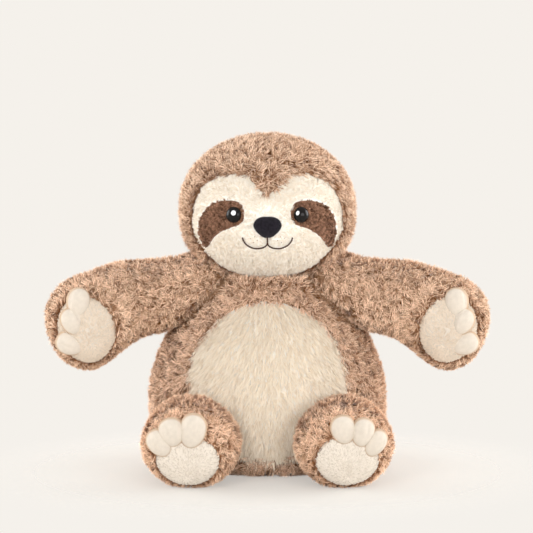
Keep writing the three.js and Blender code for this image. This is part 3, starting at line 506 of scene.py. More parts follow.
def torso_rings(rows=110, sides=150):
    turns, rings = full_turn(sides), []
    for z in np.linspace(0, 1, rows) * TORSO_HEIGHT:
        half, front, back = torso_section(z)
        depth = np.where(np.sin(turns) < 0, front, back)
        rings.append(np.stack([half * np.cos(turns), depth * np.sin(turns), np.full(sides, z)], 1))
    return np.array(rings)


def seat_rooms(rings):
    """Presses the shoulder and hip rooms and the head's seat into the torso's skin."""
    points = rings.reshape(-1, 3).copy()
    groove = np.zeros(len(points))
    for limb in (ARM, LEG):
        room = limb.root + FABRIC
        for side, _ in SIDES:
            pivot = flip(limb.pivot, side)
            inward = unit(np.array([0, 0, limb.aim]) - pivot)
            offset = points - pivot
            near = np.linalg.norm(offset, axis=1) < room
            forward = offset @ inward
            reach = np.sum(offset ** 2, axis=1) - room ** 2
            travel = -forward + np.sqrt(np.maximum(forward ** 2 - reach, 0))
            points[near] += inward * travel[near, None]
    for limb in (ARM, LEG):
        depth = limb_depth_inside(limb, left_of(points))
        beside = np.exp(-(np.minimum(depth + 2, 0) / SEAM_GROOVE_WIDTH) ** 2)
        groove = np.maximum(groove, beside * (depth < 0))
    points[:, :2] *= (1 - SEAM_GROOVE * groove)[:, None]
    points[:, 2] = np.minimum(points[:, 2], head_seat(points))
    return points.reshape(rings.shape)


def head_rings(rows=90, sides=140):
    latitudes = np.linspace(-math.pi / 2, math.pi / 2, rows + 2)[1:-1]
    return np.array([head_points(np.full(sides, latitude), full_turn(sides)) for latitude in latitudes])


def limb_rings(limb, count=90, sides=90):
    """A limb's skin, drawn in where it meets the torso and flat where it stands on the floor."""
    along, side, over = limb_frame(limb)
    turns, rings = full_turn(sides), []
    for reach, half_side, half_over in limb_stations(limb, count):
        ring = limb.pivot + along * reach + over * limb_bow(limb, reach) + np.outer(half_side * np.cos(turns), side)
        rings.append(ring + np.outer(half_over * np.sin(turns), over))
    points = np.array(rings).reshape(-1, 3)
    depth = torso_depth_inside(points)
    away = np.clip((np.linalg.norm(points - limb.pivot, axis=1) - limb.root - 0.4) / 8, 0, 1)
    outward = unit(points * (1, 1, 0) + (0, 0, 1e-6))
    points = points + outward * (np.maximum(depth + LIMB_CLEARANCE, 0) * away * 0.9)[:, None]
    axis = limb.pivot + np.outer((points - limb.pivot) @ along, along)
    pinch = SEAM_PINCH * np.exp(-((depth + SEAM_PINCH_DEPTH) / SEAM_PINCH_WIDTH) ** 2)
    points = axis + (points - axis) * (1 - pinch)[:, None]
    points[:, 2] = np.maximum(points[:, 2], 0)
    return points.reshape(len(rings), sides, 3)


def grid_normals(rings, middle):
    """Outward directions of a grid of rings around a middle line or point."""
    along = np.gradient(rings, axis=0)
    wrapped = np.concatenate([rings[:, -1:], rings, rings[:, :1]], axis=1)
    normals = unit(np.cross((wrapped[:, 2:] - wrapped[:, :-2]) / 2, along))
    facing = np.sum(normals * (rings - middle), axis=-1)
    return normals * (1 if np.mean(facing) > 0 else -1)


def scatter(rings, normals, density, rng):
    """Points spread evenly over a grid of rings, with their outward directions."""
    corners, aims = ([grid[:-1], after[:-1], after[1:], grid[1:]]
                     for grid, after in ((part, np.roll(part, -1, axis=1)) for part in (rings, normals)))
    area = np.linalg.norm(np.cross(corners[2] - corners[0], corners[3] - corners[1]), axis=-1).ravel() / 2
    count = int(area.sum() * density)
    cell = rng.choice(len(area), count, p=area / area.sum())
    u, v = rng.random((2, count, 1))
    weights = [(1 - u) * (1 - v), u * (1 - v), u * v, (1 - u) * v]
    points, facing = (sum(w * c.reshape(-1, 3)[cell] for w, c in zip(weights, part)) for part in (corners, aims))
    return points, unit(facing)


def value_noise(points, spacing, seed):
    """Smooth random values between 0 and 1 with features of a given spacing."""
    at = points / spacing
    base = np.floor(at).astype(np.int64)
    t = at - base
    t = t * t * (3 - 2 * t)
    total = np.zeros(len(points))
    for step in np.ndindex(2, 2, 2):
        x, y, z = (base + step).T
        mixed = x * 73856093 ^ y * 19349663 ^ z * 83492791 ^ seed * 2654435
        mixed = (mixed ^ (mixed >> 13)) * 1274126177 & 0x7FFFFFFF
        wx, wy, wz = np.where(step, t, 1 - t).T
        total += wx * wy * wz * ((mixed % 100003) / 100003)
    return total


def nearest_tuft(points, centres):
    tree = kdtree.KDTree(len(centres))
    for index, centre in enumerate(centres.tolist()):
        tree.insert(centre, index)
    tree.balance()
    return np.array([tree.find(point)[1] for point in points.tolist()])


def hair_mesh(name, points, tints):
    """A mesh of one narrow face for each hair, marked with how far along it is and with its tint."""
    count = len(tints)
    starts = (np.arange(count) * 4).astype(np.int32)
    loops = (starts[:, None] + np.array([0, 2, 3, 1])).ravel()
    mesh = bpy.data.meshes.new(name)
    mesh.vertices.add(count * 4)
    mesh.vertices.foreach_set("co", (points * MM).astype(np.float32).ravel())
    mesh.loops.add(len(loops))
    mesh.loops.foreach_set("vertex_index", loops.astype(np.int32))
    mesh.polygons.add(count)
    mesh.polygons.foreach_set("loop_start", starts)
    mesh.polygons.foreach_set("loop_total", np.full(count, 4, np.int32))
    mesh.update(calc_edges=True)
    mesh.shade_smooth()
    along, tints = np.tile(np.array([0, 0.5, 0.5, 1.0]), count), np.repeat(tints, 4)
    for attribute, values in (("along", along), ("tint", tints)):
        mesh.attributes.new(attribute, "FLOAT", "POINT").data.foreach_set("value", values.astype(np.float32))
    uv = mesh.uv_layers.new(name="OFBake")
    coords = np.stack([0.02 + 0.96 * tints[loops], 0.02 + 0.96 * along[loops]], 1)
    coords[:, 0] += np.where(loops % 4 == 1, -0.004, np.where(loops % 4 == 2, 0.004, 0))
    uv.data.foreach_set("uv", coords.astype(np.float32).ravel())
    return mesh


def pile_mesh(name, roots, normals, flow, tufts, spacing, tint, length, width, lean, curl, rng):
    """Real tapered hairs in tufts: each one a narrow lens that leans with the flow and curls to its tuft."""
    count = len(roots)
    near = nearest_tuft(roots, roots[tufts])
    centre, drawn = roots[tufts][near] - roots, rng.random((len(tufts), 3))[near]
    beside = np.clip(np.linalg.norm(centre, axis=1, keepdims=True) / spacing, 0, 1)
    flow = unit(flow - normals * np.sum(flow * normals, axis=1, keepdims=True))
    turn = 2 * math.pi * drawn[:, :1] + rng.normal(0, TURN_SPREAD, (count, 1))
    stray = flow * np.cos(turn) + np.cross(normals, flow) * np.sin(turn)
    lean = lean[:, None]
    aim = unit(normals * np.cos(lean) + flow * np.sin(lean) + stray * (0.15 + 0.45 * curl)
               + rng.normal(0, AIM_SPREAD, (count, 3)))
    bend = flow * 0.3 * np.sin(lean) + stray * curl - normals * 0.35 * curl
    reach = (length * (0.8 + 0.4 * drawn[:, 1]))[:, None] * (1.12 - 0.3 * beside)
    pull = centre * (TUFT_PULL + TUFT_PULL_SPREAD * drawn[:, 2:])
    root, middle, tip = (roots + (aim * s + bend * s ** 2) * reach + pull * s ** 1.5 for s in (0, 0.5, 1.0))
    across = unit(np.cross(aim + bend, normals) + stray * 0.25)
    facing = unit(np.cross(across, aim + bend * 0.6))
    across = across * np.sign(np.sum(facing * normals, axis=1, keepdims=True) + 1e-6)
    half = across * width[:, None] / 2
    points = np.stack([root, middle - half, middle + half, tip], 1).reshape(-1, 3)
    points[:, 2] = np.maximum(points[:, 2], 0.05)
    # A hair's tint drops the farther it stands from its tuft's middle: painted shade in the gaps between tufts
    return hair_mesh(name, points, np.clip(tint + 0.5 * (drawn[:, 0] - 0.5) + 0.6 * (0.5 - beside[:, 0]), 0, 1))


def seam_trim(depth, shortest=0.25, reach=11.0):
    """Shorter pile beside a seam, from how deep its roots lie in the piece across that seam."""
    return np.clip(shortest + (1 - shortest) * -depth / reach, shortest, 1)


def lay_pile(name, body, material, slot, coat, rings, middle, density, keep, flow, length, seed, side=1, trim=None):
    """Grows a coat of real hairs over a skin and sets it on the skin's body."""
    width, lean, curl, tuft, painted_seam_shade = COATS[coat]
    rng = np.random.default_rng(sizes().seed * 100 + seed)
    roots, aims = scatter(rings, grid_normals(rings, middle), density, rng)
    kept = keep(roots)
    roots, aims = roots[kept], aims[kept]
    count = len(roots)
    tufts = rng.choice(count, int(count / density / tuft ** 2), replace=False)
    coarse, fine = value_noise(roots, SHADE_SPACING, seed), value_noise(roots, LENGTH_SPACING, seed + 5)
    swirl = np.stack([value_noise(roots, SWIRL_SPACING, seed + k) - 0.5 for k in (11, 12, 13)], 1)
    tint = 0.5 + 0.15 * (coarse - 0.5) + 0.2 * (fine - 0.5) + rng.normal(0, TINT_SPREAD, count)
    cut = np.ones(count) if trim is None else trim(roots)
    # Hair trimmed short beside a seam, a pad or the face gets a darker tint: painted shade in the crease
    tint += painted_seam_shade * (cut - 1)
    streams = unit(flow(roots)) + swirl * 2 * curl
    leaning = np.clip(np.full(count, lean) + rng.normal(0, LEAN_SPREAD, count), 0.05, 1.4)
    widths = width * (0.75 + 0.5 * rng.random(count))
    mesh = pile_mesh(name, flip(roots, side), flip(aims, side), flip(streams, side), tufts, tuft, tint,
                     length * (0.92 + 0.16 * fine) * cut, widths, leaning, curl, rng)
    return add_piece(name, mesh, material, body, slot)


def sweep(name, path, radius, sides=8, plies=0, pitch=1.6):
    """A thread along a path in millimetres, its plies twisted round each other, closed at both ends."""
    path = np.array(path, float)
    far_along, tangent = travelled(path), unit(np.gradient(path, axis=0))
    across = unit(np.cross(tangent, np.array([0.0, -1.0, 0.0])))
    turns, rings = full_turn(sides), []
    for at, a, b, far in zip(path, across, np.cross(across, tangent), far_along):
        reach = radius * (1.0 if 0 < far < far_along[-1] else 0.4)
        if plies:
            reach = (reach * (1 + 0.22 * np.cos(plies * turns - 2 * math.pi * far / pitch)))[:, None]
        rings.append(at + reach * (np.outer(np.cos(turns), a) + np.outer(np.sin(turns), b)))
    return grid_mesh(name, np.array(rings), path[0], path[-1])


def turned_profile(name, profile, place, axis, sides=48):
    """A profile of radius and height in millimetres turned about an axis."""
    axis = unit(np.array(axis, float))
    across = unit(np.cross(axis, (0.3, 0.2, 1.0)))
    other, turns = np.cross(axis, across), full_turn(sides)
    rings = [place + axis * height + radius * (np.outer(np.cos(turns), across) + np.outer(np.sin(turns), other))
             for radius, height in profile[1:-1]]
    return grid_mesh(name, np.array(rings), place + axis * profile[0][1], place + axis * profile[-1][1])


def claw_rings(place, half, lengthwise, crosswise, front, crease_at):
    """A stuffed claw with a crease round its middle, and how much each point takes of the seam colour: a seam line
    with painted shade where the claw meets the pad and its neighbours.
    """
    around, rings, marks = full_turn(56), [], []
    for step in np.linspace(-math.pi / 2, math.pi / 2, 34)[1:-1]:
        wide = (1 + 0.1 * math.sin(step)) * math.cos(step) ** 0.88
        crease = math.exp(-((step - 0.35) / 0.75) ** 2)
        sunk = 1 - 0.1 * crease * np.exp(-((around - crease_at) / 0.13) ** 2)
        raised = half[2] * wide * np.cos(around)
        rings.append(place + lengthwise * half[0] * math.sin(step) + np.outer(raised * sunk, front)
                     + np.outer(half[1] * wide * np.sin(around) * sunk, crosswise))
        marks.extend(CLAW_SEAM_SHADE_STRENGTH * np.clip((CLAW_SEAM_SHADE_HEIGHT - raised) / CLAW_SEAM_SHADE_FADE, 0, 1))
    return np.array(rings), marks + [CLAW_SEAM_SHADE_STRENGTH] * 2


def set_sockets(node, values):
    for socket, value in values.items():
        node.inputs[socket].default_value = value


def wire(links, *joints):
    for source, output, target, socket in joints:
        links.new(source.outputs[output], target.inputs[socket])


def new_material(name, finish):
    """A material with its shader's own sockets set to a finish, and what its nodes are made with."""
    material = bpy.data.materials.new(name)
    material.use_nodes = True
    nodes = material.node_tree.nodes
    shader = nodes["Principled BSDF"]
    set_sockets(shader, finish)
    return material, nodes, material.node_tree.links, shader


def soft_finish(roughness, sheen, sheen_roughness):
    return {"Roughness": roughness, "Sheen Weight": sheen, "Sheen Roughness": sheen_roughness,
            "Specular IOR Level": 0}


def colour_ramp(nodes, colour_stops, places):
    ramp = nodes.new("ShaderNodeValToRGB")
    for stop, colour, place in zip(ramp.color_ramp.elements, colour_stops, places):
        stop.color, stop.position = (*colour, 1), place
    return ramp


def operation(nodes, kind, name):
    node = nodes.new(kind)
    node.operation = name
    return node


def mesh_mark(nodes, attribute):
    node = nodes.new("ShaderNodeAttribute")
    node.attribute_name = attribute
    return node


def cloth_material(name, colour, roughness=0.9, sheen=0.4, spacing=0.0012, depth=0.3, spread=0.08):
    """A woven or napped cloth with its own mottling and fine relief."""
    material, nodes, links, shader = new_material(name, soft_finish(roughness, sheen, 0.5))
    where = nodes.new("ShaderNodeTexCoord")
    mottle, grain = nodes.new("ShaderNodeTexNoise"), nodes.new("ShaderNodeTexNoise")
    set_sockets(mottle, {"Scale": 0.22 / spacing, "Detail": 3})
    set_sockets(grain, {"Scale": 1 / spacing, "Detail": 2})
    ramp = colour_ramp(nodes, [[min(1.0, c * shade) for c in colour] for shade in (1 - spread, 1 + spread)],
                       (0.35, 0.65))
    bump = nodes.new("ShaderNodeBump")
    set_sockets(bump, {"Strength": depth, "Distance": spacing})
    wire(links, (where, "Object", mottle, "Vector"), (where, "Object", grain, "Vector"),
         (mottle, "Fac", ramp, "Fac"), (ramp, "Color", shader, "Base Color"),
         (grain, "Fac", bump, "Height"), (bump, "Normal", shader, "Normal"))
    return material


def seam_shade_material(name, colour, seam_shade_colour, **finish):
    """A cloth that takes its seam's colour where the mesh marks its seam line and the painted shade at a claw's base.
    """
    material = cloth_material(name, colour, **finish)
    nodes, links = material.node_tree.nodes, material.node_tree.links
    shader = nodes["Principled BSDF"]
    plain = shader.inputs["Base Color"].links[0].from_node
    mix = nodes.new("ShaderNodeMix")
    mix.data_type = "RGBA"
    set_sockets(mix, {7: (*seam_shade_colour, 1)})
    wire(links, (mesh_mark(nodes, "seam"), "Fac", mix, 0), (plain, "Color", mix, 6), (mix, 2, shader, "Base Color"))
    return material


def pile_material(name, root, tip, dull=(0.44, 0.31, 0.2), bright=(1.31, 1.45, 1.57), sheen=0.35):
    """Hair that goes from its root colour to its tip colour, darker at the root as painted shade deep in the pile,
    each hair with its own shade.
    """
    material, nodes, links, shader = new_material(name, soft_finish(0.75, sheen, 0.4))
    # The ramp darkens each hair towards its root: painted shade deep in the pile
    ramp, shade = colour_ramp(nodes, (root, tip), (0.25, 0.95)), nodes.new("ShaderNodeMapRange")
    shade.data_type = "FLOAT_VECTOR"
    set_sockets(shade, {9: dull, 10: bright})
    mix = operation(nodes, "ShaderNodeVectorMath", "MULTIPLY")
    wire(links, (mesh_mark(nodes, "along"), "Fac", ramp, "Fac"), (mesh_mark(nodes, "tint"), "Vector", shade, 6),
         (ramp, "Color", mix, 0), (shade, "Vector", mix, 1), (mix, "Vector", shader, "Base Color"))
    return material


def backdrop_paper(colour):
    """Floor paper that keeps the toy's shadow and gives way to the plain backdrop around it."""
    paper, nodes, links, shader = new_material("Backdrop paper", {
        "Base Color": (*[PAPER_SHADE * v for v in colour], 1), "Roughness": 1, "Specular IOR Level": 0})
    where, rays, footprint, fade, clear, cover = (nodes.new("ShaderNode" + kind) for kind in (
        "TexCoord", "LightPath", "Mapping", "MapRange", "BsdfTransparent", "MixShader"))
    set_sockets(footprint, {"Location": (0, 0.03, 0), "Scale": (0.8, 1, 1)})
    fade.interpolation_type = "SMOOTHSTEP"
    set_sockets(fade, {"From Min": 0.1, "From Max": 0.22, "To Min": 0.45})
    far = operation(nodes, "ShaderNodeVectorMath", "LENGTH")
    both = operation(nodes, "ShaderNodeMath", "MULTIPLY")
    wire(links, (where, "Object", footprint, "Vector"), (footprint, "Vector", far, 0),
         (far, "Value", fade, "Value"), (fade, "Result", both, 0), (rays, "Is Camera Ray", both, 1),
         (both, 0, cover, 0), (shader, 0, cover, 1), (clear, 0, cover, 2),
         (cover, 0, nodes["Material Output"], "Surface"))
    return paper


def studio_world(colour):
    """Even light, with the backdrop's own colour where the camera, gloss or glass looks at it."""
    world = bpy.data.worlds.new("Studio")
    world.use_nodes = True
    nodes, links = world.node_tree.nodes, world.node_tree.links
    background, seen = nodes["Background"], nodes.new("ShaderNodeBackground")
    set_sockets(background, {"Color": (1, 0.985, 0.96, 1), "Strength": WORLD_STRENGTH})
    set_sockets(seen, {"Color": (*colour, 1)})
    rays, mixer = nodes.new("ShaderNodeLightPath"), nodes.new("ShaderNodeMixShader")
    seen_by = rays, "Is Camera Ray"
    for kind in ("Is Glossy Ray", "Is Transmission Ray"):
        either = operation(nodes, "ShaderNodeMath", "MAXIMUM")
        wire(links, (*seen_by, either, 0), (rays, kind, either, 1))
        seen_by = either, 0
    wire(links, (*seen_by, mixer, 0), (background, 0, mixer, 1),
         (seen, 0, mixer, 2), (mixer, 0, nodes["World Output"], "Surface"))
    return world


class SLOTH_OT_stage(bpy.types.Operator):
    """Floor, lamps and the camera at the photograph's angle"""
    bl_idname = "sloth.stage"
    bl_label = "Stage"

    def execute(self, context):
        scene, backdrop, reach = context.scene, colours().backdrop, FLOOR_HALF_SIZE
        scene.view_settings.view_transform = "Standard"
        mesh = bpy.data.meshes.new("floor")
        mesh.from_pydata([(-reach, -reach, 0), (reach, -reach, 0), (reach, reach, 0), (-reach, reach, 0)], [],
                         [(0, 1, 2, 3)])
        mesh.materials.append(backdrop_paper(backdrop))
        floor = bpy.data.objects.new("floor", mesh)
        scene.collection.objects.link(floor)
        scene.world = studio_world(backdrop)
        for name, (place, size, power_watts, diffuse) in LAMPS.items():
            light = bpy.data.lights.new(name, "AREA")
            light.shape, light.size, light.energy = "DISK", size, power_watts
            lamp = bpy.data.objects.new(name, light)
            lamp.visible_diffuse, lamp.location = diffuse, place
            lamp.rotation_euler = (LAMP_TARGET - Vector(place)).to_track_quat("-Z", "Y").to_euler()
            scene.collection.objects.link(lamp)
        camera = bpy.data.objects.new("camera", bpy.data.cameras.new("camera"))
        scene.collection.objects.link(camera)
        camera.data.sensor_width, camera.data.lens = 36, CAMERA_LENS
        aim = Vector((0, -math.cos(CAMERA_RAISED), math.sin(CAMERA_RAISED)))
        camera.location = CAMERA_TARGET + CAMERA_DISTANCE * aim
        camera.rotation_euler = (CAMERA_TARGET - camera.location).to_track_quat("-Z", "Y").to_euler()
        camera.data.clip_start, camera.data.clip_end = 0.05, 30
        scene.camera = camera
        return {"FINISHED"}


class SLOTH_OT_head(bpy.types.Operator):
    """Head skin, face panel and eye patches with their pile"""
    bl_idname = "sloth.head"
    bl_label = "Head and face"

    def execute(self, context):
        c, p = colours(), sizes()
        rings = head_rings()
        skin = cloth_material("Brown plush backing", c.brown_backing, sheen=0.02)
        sewn("head_skin_sewn", "head_skin", rings, HEAD_ENDS, skin, "head", "brown_plush", 0.85)
        stuffed("head_fill", rings, HEAD_CENTRE, HEAD_ENDS, "head")
        cream = cloth_material("Cream plush backing", c.cream_tip, spread=0.03)
        face = panel(FACE_OUTLINE, FACE_MIDDLE, over_head, FACE_RISE)
        sewn("face_panel_sewn", "face_panel", *face, cream, "head", "cream_plush", 0.8)
        dark = cloth_material("Eye patch velour", c.patch, spread=0.2)
        patch = panel(PATCH_OUTLINE, PATCH_MIDDLE, over_head, PATCH_RISE, sunk=1.0, steps=18)
        for side, label in SIDES:
            node = "eye_patch_" + label
            sewn(node + "_sewn", node, *patch, dark, "head", "dark_plush", 0.8, side)

        def in_front(points):
            return points[:, 1] < HEAD_CENTRE[1]

        def from_eye(x, z):
            return np.hypot(np.abs(x) - EYE_HALF_SPACING, z - HEAD_CENTRE[2])

        def off_face(points):
            on_face = in_front(points) & inside_outline(points[:, 0], points[:, 2], FACE_OUTLINE)
            return ~on_face & (torso_depth_inside(points) < 1)

        def beside_face(points):
            to_rim = curve_distance(points[:, 0], points[:, 2], np.vstack([FACE_OUTLINE, FACE_OUTLINE[:1]]))
            rim = np.where(in_front(points), np.clip(0.75 + to_rim / 20, 0.75, 1), 1)
            return np.minimum(rim, seam_trim(torso_depth_inside(points)))

        def on_face(points):
            x, z = points[:, 0], points[:, 2]
            bare = (x / 10.5) ** 2 + ((z - NOSE_MIDDLE) / 7.5) ** 2 < 1
            bare |= curve_distance(np.abs(x), z, MOUTH_PATH) < 0.9
            bare |= from_eye(x, z) < EYE_RADIUS
            bare |= inside_outline(np.abs(x), z, PATCH_OUTLINE)
            return in_front(points) & inside_outline(x, z, FACE_OUTLINE) & ~bare

        def face_trim(points):
            x, z = np.abs(points[:, 0]), points[:, 2]
            return np.minimum.reduce([
                np.clip(curve_distance(x, z, MOUTH_PATH) / 6, 0.55, 1),
                np.clip(np.hypot(x / 1.25, z - NOSE_MIDDLE) / 22, 0.5, 1),
                np.clip(from_eye(x, z) / 16, 0.4, 1),
                np.clip(0.45 + curve_distance(x, z, FACE_OUTLINE) / 12, 0.45, 1),
                np.clip(0.35 + curve_distance(x, z, PATCH_OUTLINE) / 7, 0.35, 1),
            ])

        def on_patch(points):
            x, z = points[:, 0], points[:, 2]
            return in_front(points) & (from_eye(x, z) > EYE_RADIUS - 0.5) & inside_outline(np.abs(x), z, PATCH_OUTLINE)

        def patch_trim(points):
            return np.clip(0.45 + curve_distance(np.abs(points[:, 0]), points[:, 2], PATCH_OUTLINE) / 6, 0.45, 1)

        def from_parting(points):
            return points - PARTING + (0, 12, 0)

        def from_nose(points):
            return points - NOSE_BRIDGE + (0, 0, -4)

        brown = pile_material("Brown curled pile", c.brown_root, c.brown_tip)
        short = pile_material("Cream face pile", c.cream_root, [v ** 0.9 for v in c.cream_tip], (0.92, 0.89, 0.85),
                              (1.03, 1.03, 1.03), sheen=0.1)
        dark_pile = pile_material("Eye patch pile", [v * 0.25 for v in c.patch], [v * 2.1 for v in c.patch],
                                  (0.22, 0.2, 0.19), sheen=0.05)
        lay_pile("head_pile", "head", brown, "brown_plush", "head", rings, HEAD_CENTRE, p.curl_density, off_face,
                 from_parting, p.curl_length / MM * HEAD_SHORTER, 1, trim=beside_face)
        lay_pile("face_pile", "head", short, "cream_plush", "face", rings, HEAD_CENTRE, p.curl_density * FACE_DENSER,
                 on_face, from_nose, p.face_length / MM, 2, trim=face_trim)
        lay_pile("eye_patch_pile", "head", dark_pile, "dark_plush", "patch", rings, HEAD_CENTRE, PATCH_DENSITY,
                 on_patch, from_nose, PATCH_PILE, 3, trim=patch_trim)
        return {"FINISHED"}


class SLOTH_OT_torso(bpy.types.Operator):
    """Torso skin and belly panel with their pile"""
    bl_idname = "sloth.torso"
    bl_label = "Torso and belly"

    def execute(self, context):
        c, p = colours(), sizes()
        whole = torso_rings()
        rings = seat_rooms(whole)
        skin = cloth_material("Torso plush backing", c.brown_backing, sheen=0.02)
        sewn("torso_skin_sewn", "torso_skin", rings, TORSO_ENDS, skin, "torso", "brown_plush", 0.85)
        stuffed("torso_fill", rings, TORSO_MIDDLE, TORSO_ENDS, "torso")

        def belly_height(upper):
            return np.where(upper > 0, BELLY_TOP - BELLY_WIDEST, BELLY_WIDEST - BELLY_BOTTOM)

        turns = full_turn(160)
        outline = np.stack([BELLY_HALF_WIDTH * np.cos(turns),
                            BELLY_WIDEST + belly_height(np.sin(turns)) * np.sin(turns)], 1)
        belly = panel(outline, np.array([0, BELLY_WIDEST]), over_torso, BELLY_RISE)
        cream = cloth_material("Belly plush backing", c.cream_tip, spread=0.03)
        sewn("belly_panel_sewn", "belly_panel", *belly, cream, "torso", "belly_plush", 0.85)

        def on_belly(points):
            above = points[:, 2] - BELLY_WIDEST
            within = (points[:, 0] / BELLY_HALF_WIDTH) ** 2 + (above / belly_height(above)) ** 2 < 1
            return (points[:, 1] < 0) & within

        def clear(points):
            free = (points[:, 2] > 2) & (points[:, 2] < head_seat(points) + 0.5)
            for limb in (ARM, LEG):
                for side, _ in SIDES:
                    free &= np.linalg.norm(points - flip(limb.pivot, side), axis=1) > limb.root - 1
            return free & (head_depth_inside(points) < -1)

        def beside_seams(points):
            depths = [limb_depth_inside(limb, left_of(points)) for limb in (ARM, LEG)]
            return np.minimum(seam_trim(np.maximum(*depths)), seam_trim(head_depth_inside(points), 0.5))

        def combed_down(points):
            up = np.clip((points[:, 2] - 148) / 10, 0, 1)[:, None]
            return points * (0.6, 0.6, 0) + (0, 0, -50) + up * (0, 0, 110)

        brown = pile_material("Torso curled pile", c.brown_root, c.brown_tip, bright=(1.4, 1.52, 1.64))
        cream_pile = pile_material("Belly brushed pile", c.cream_root, c.cream_tip, (0.86, 0.77, 0.66),
                                   (1.1, 1.08, 1.04), sheen=0.1)
        lay_pile("torso_pile", "torso", brown, "brown_plush", "torso", whole, TORSO_MIDDLE, p.curl_density,
                 lambda points: ~on_belly(points) & clear(points), combed_down, p.curl_length / MM, 4,
                 trim=beside_seams)
        lay_pile("belly_pile", "torso", cream_pile, "belly_plush", "belly", whole, TORSO_MIDDLE,
                 p.curl_density * BELLY_DENSER, lambda points: on_belly(points) & clear(points),
                 lambda points: points * (0.5, 0, 0) + (0, 0, -60), p.belly_length / MM, 5)
        return {"FINISHED"}


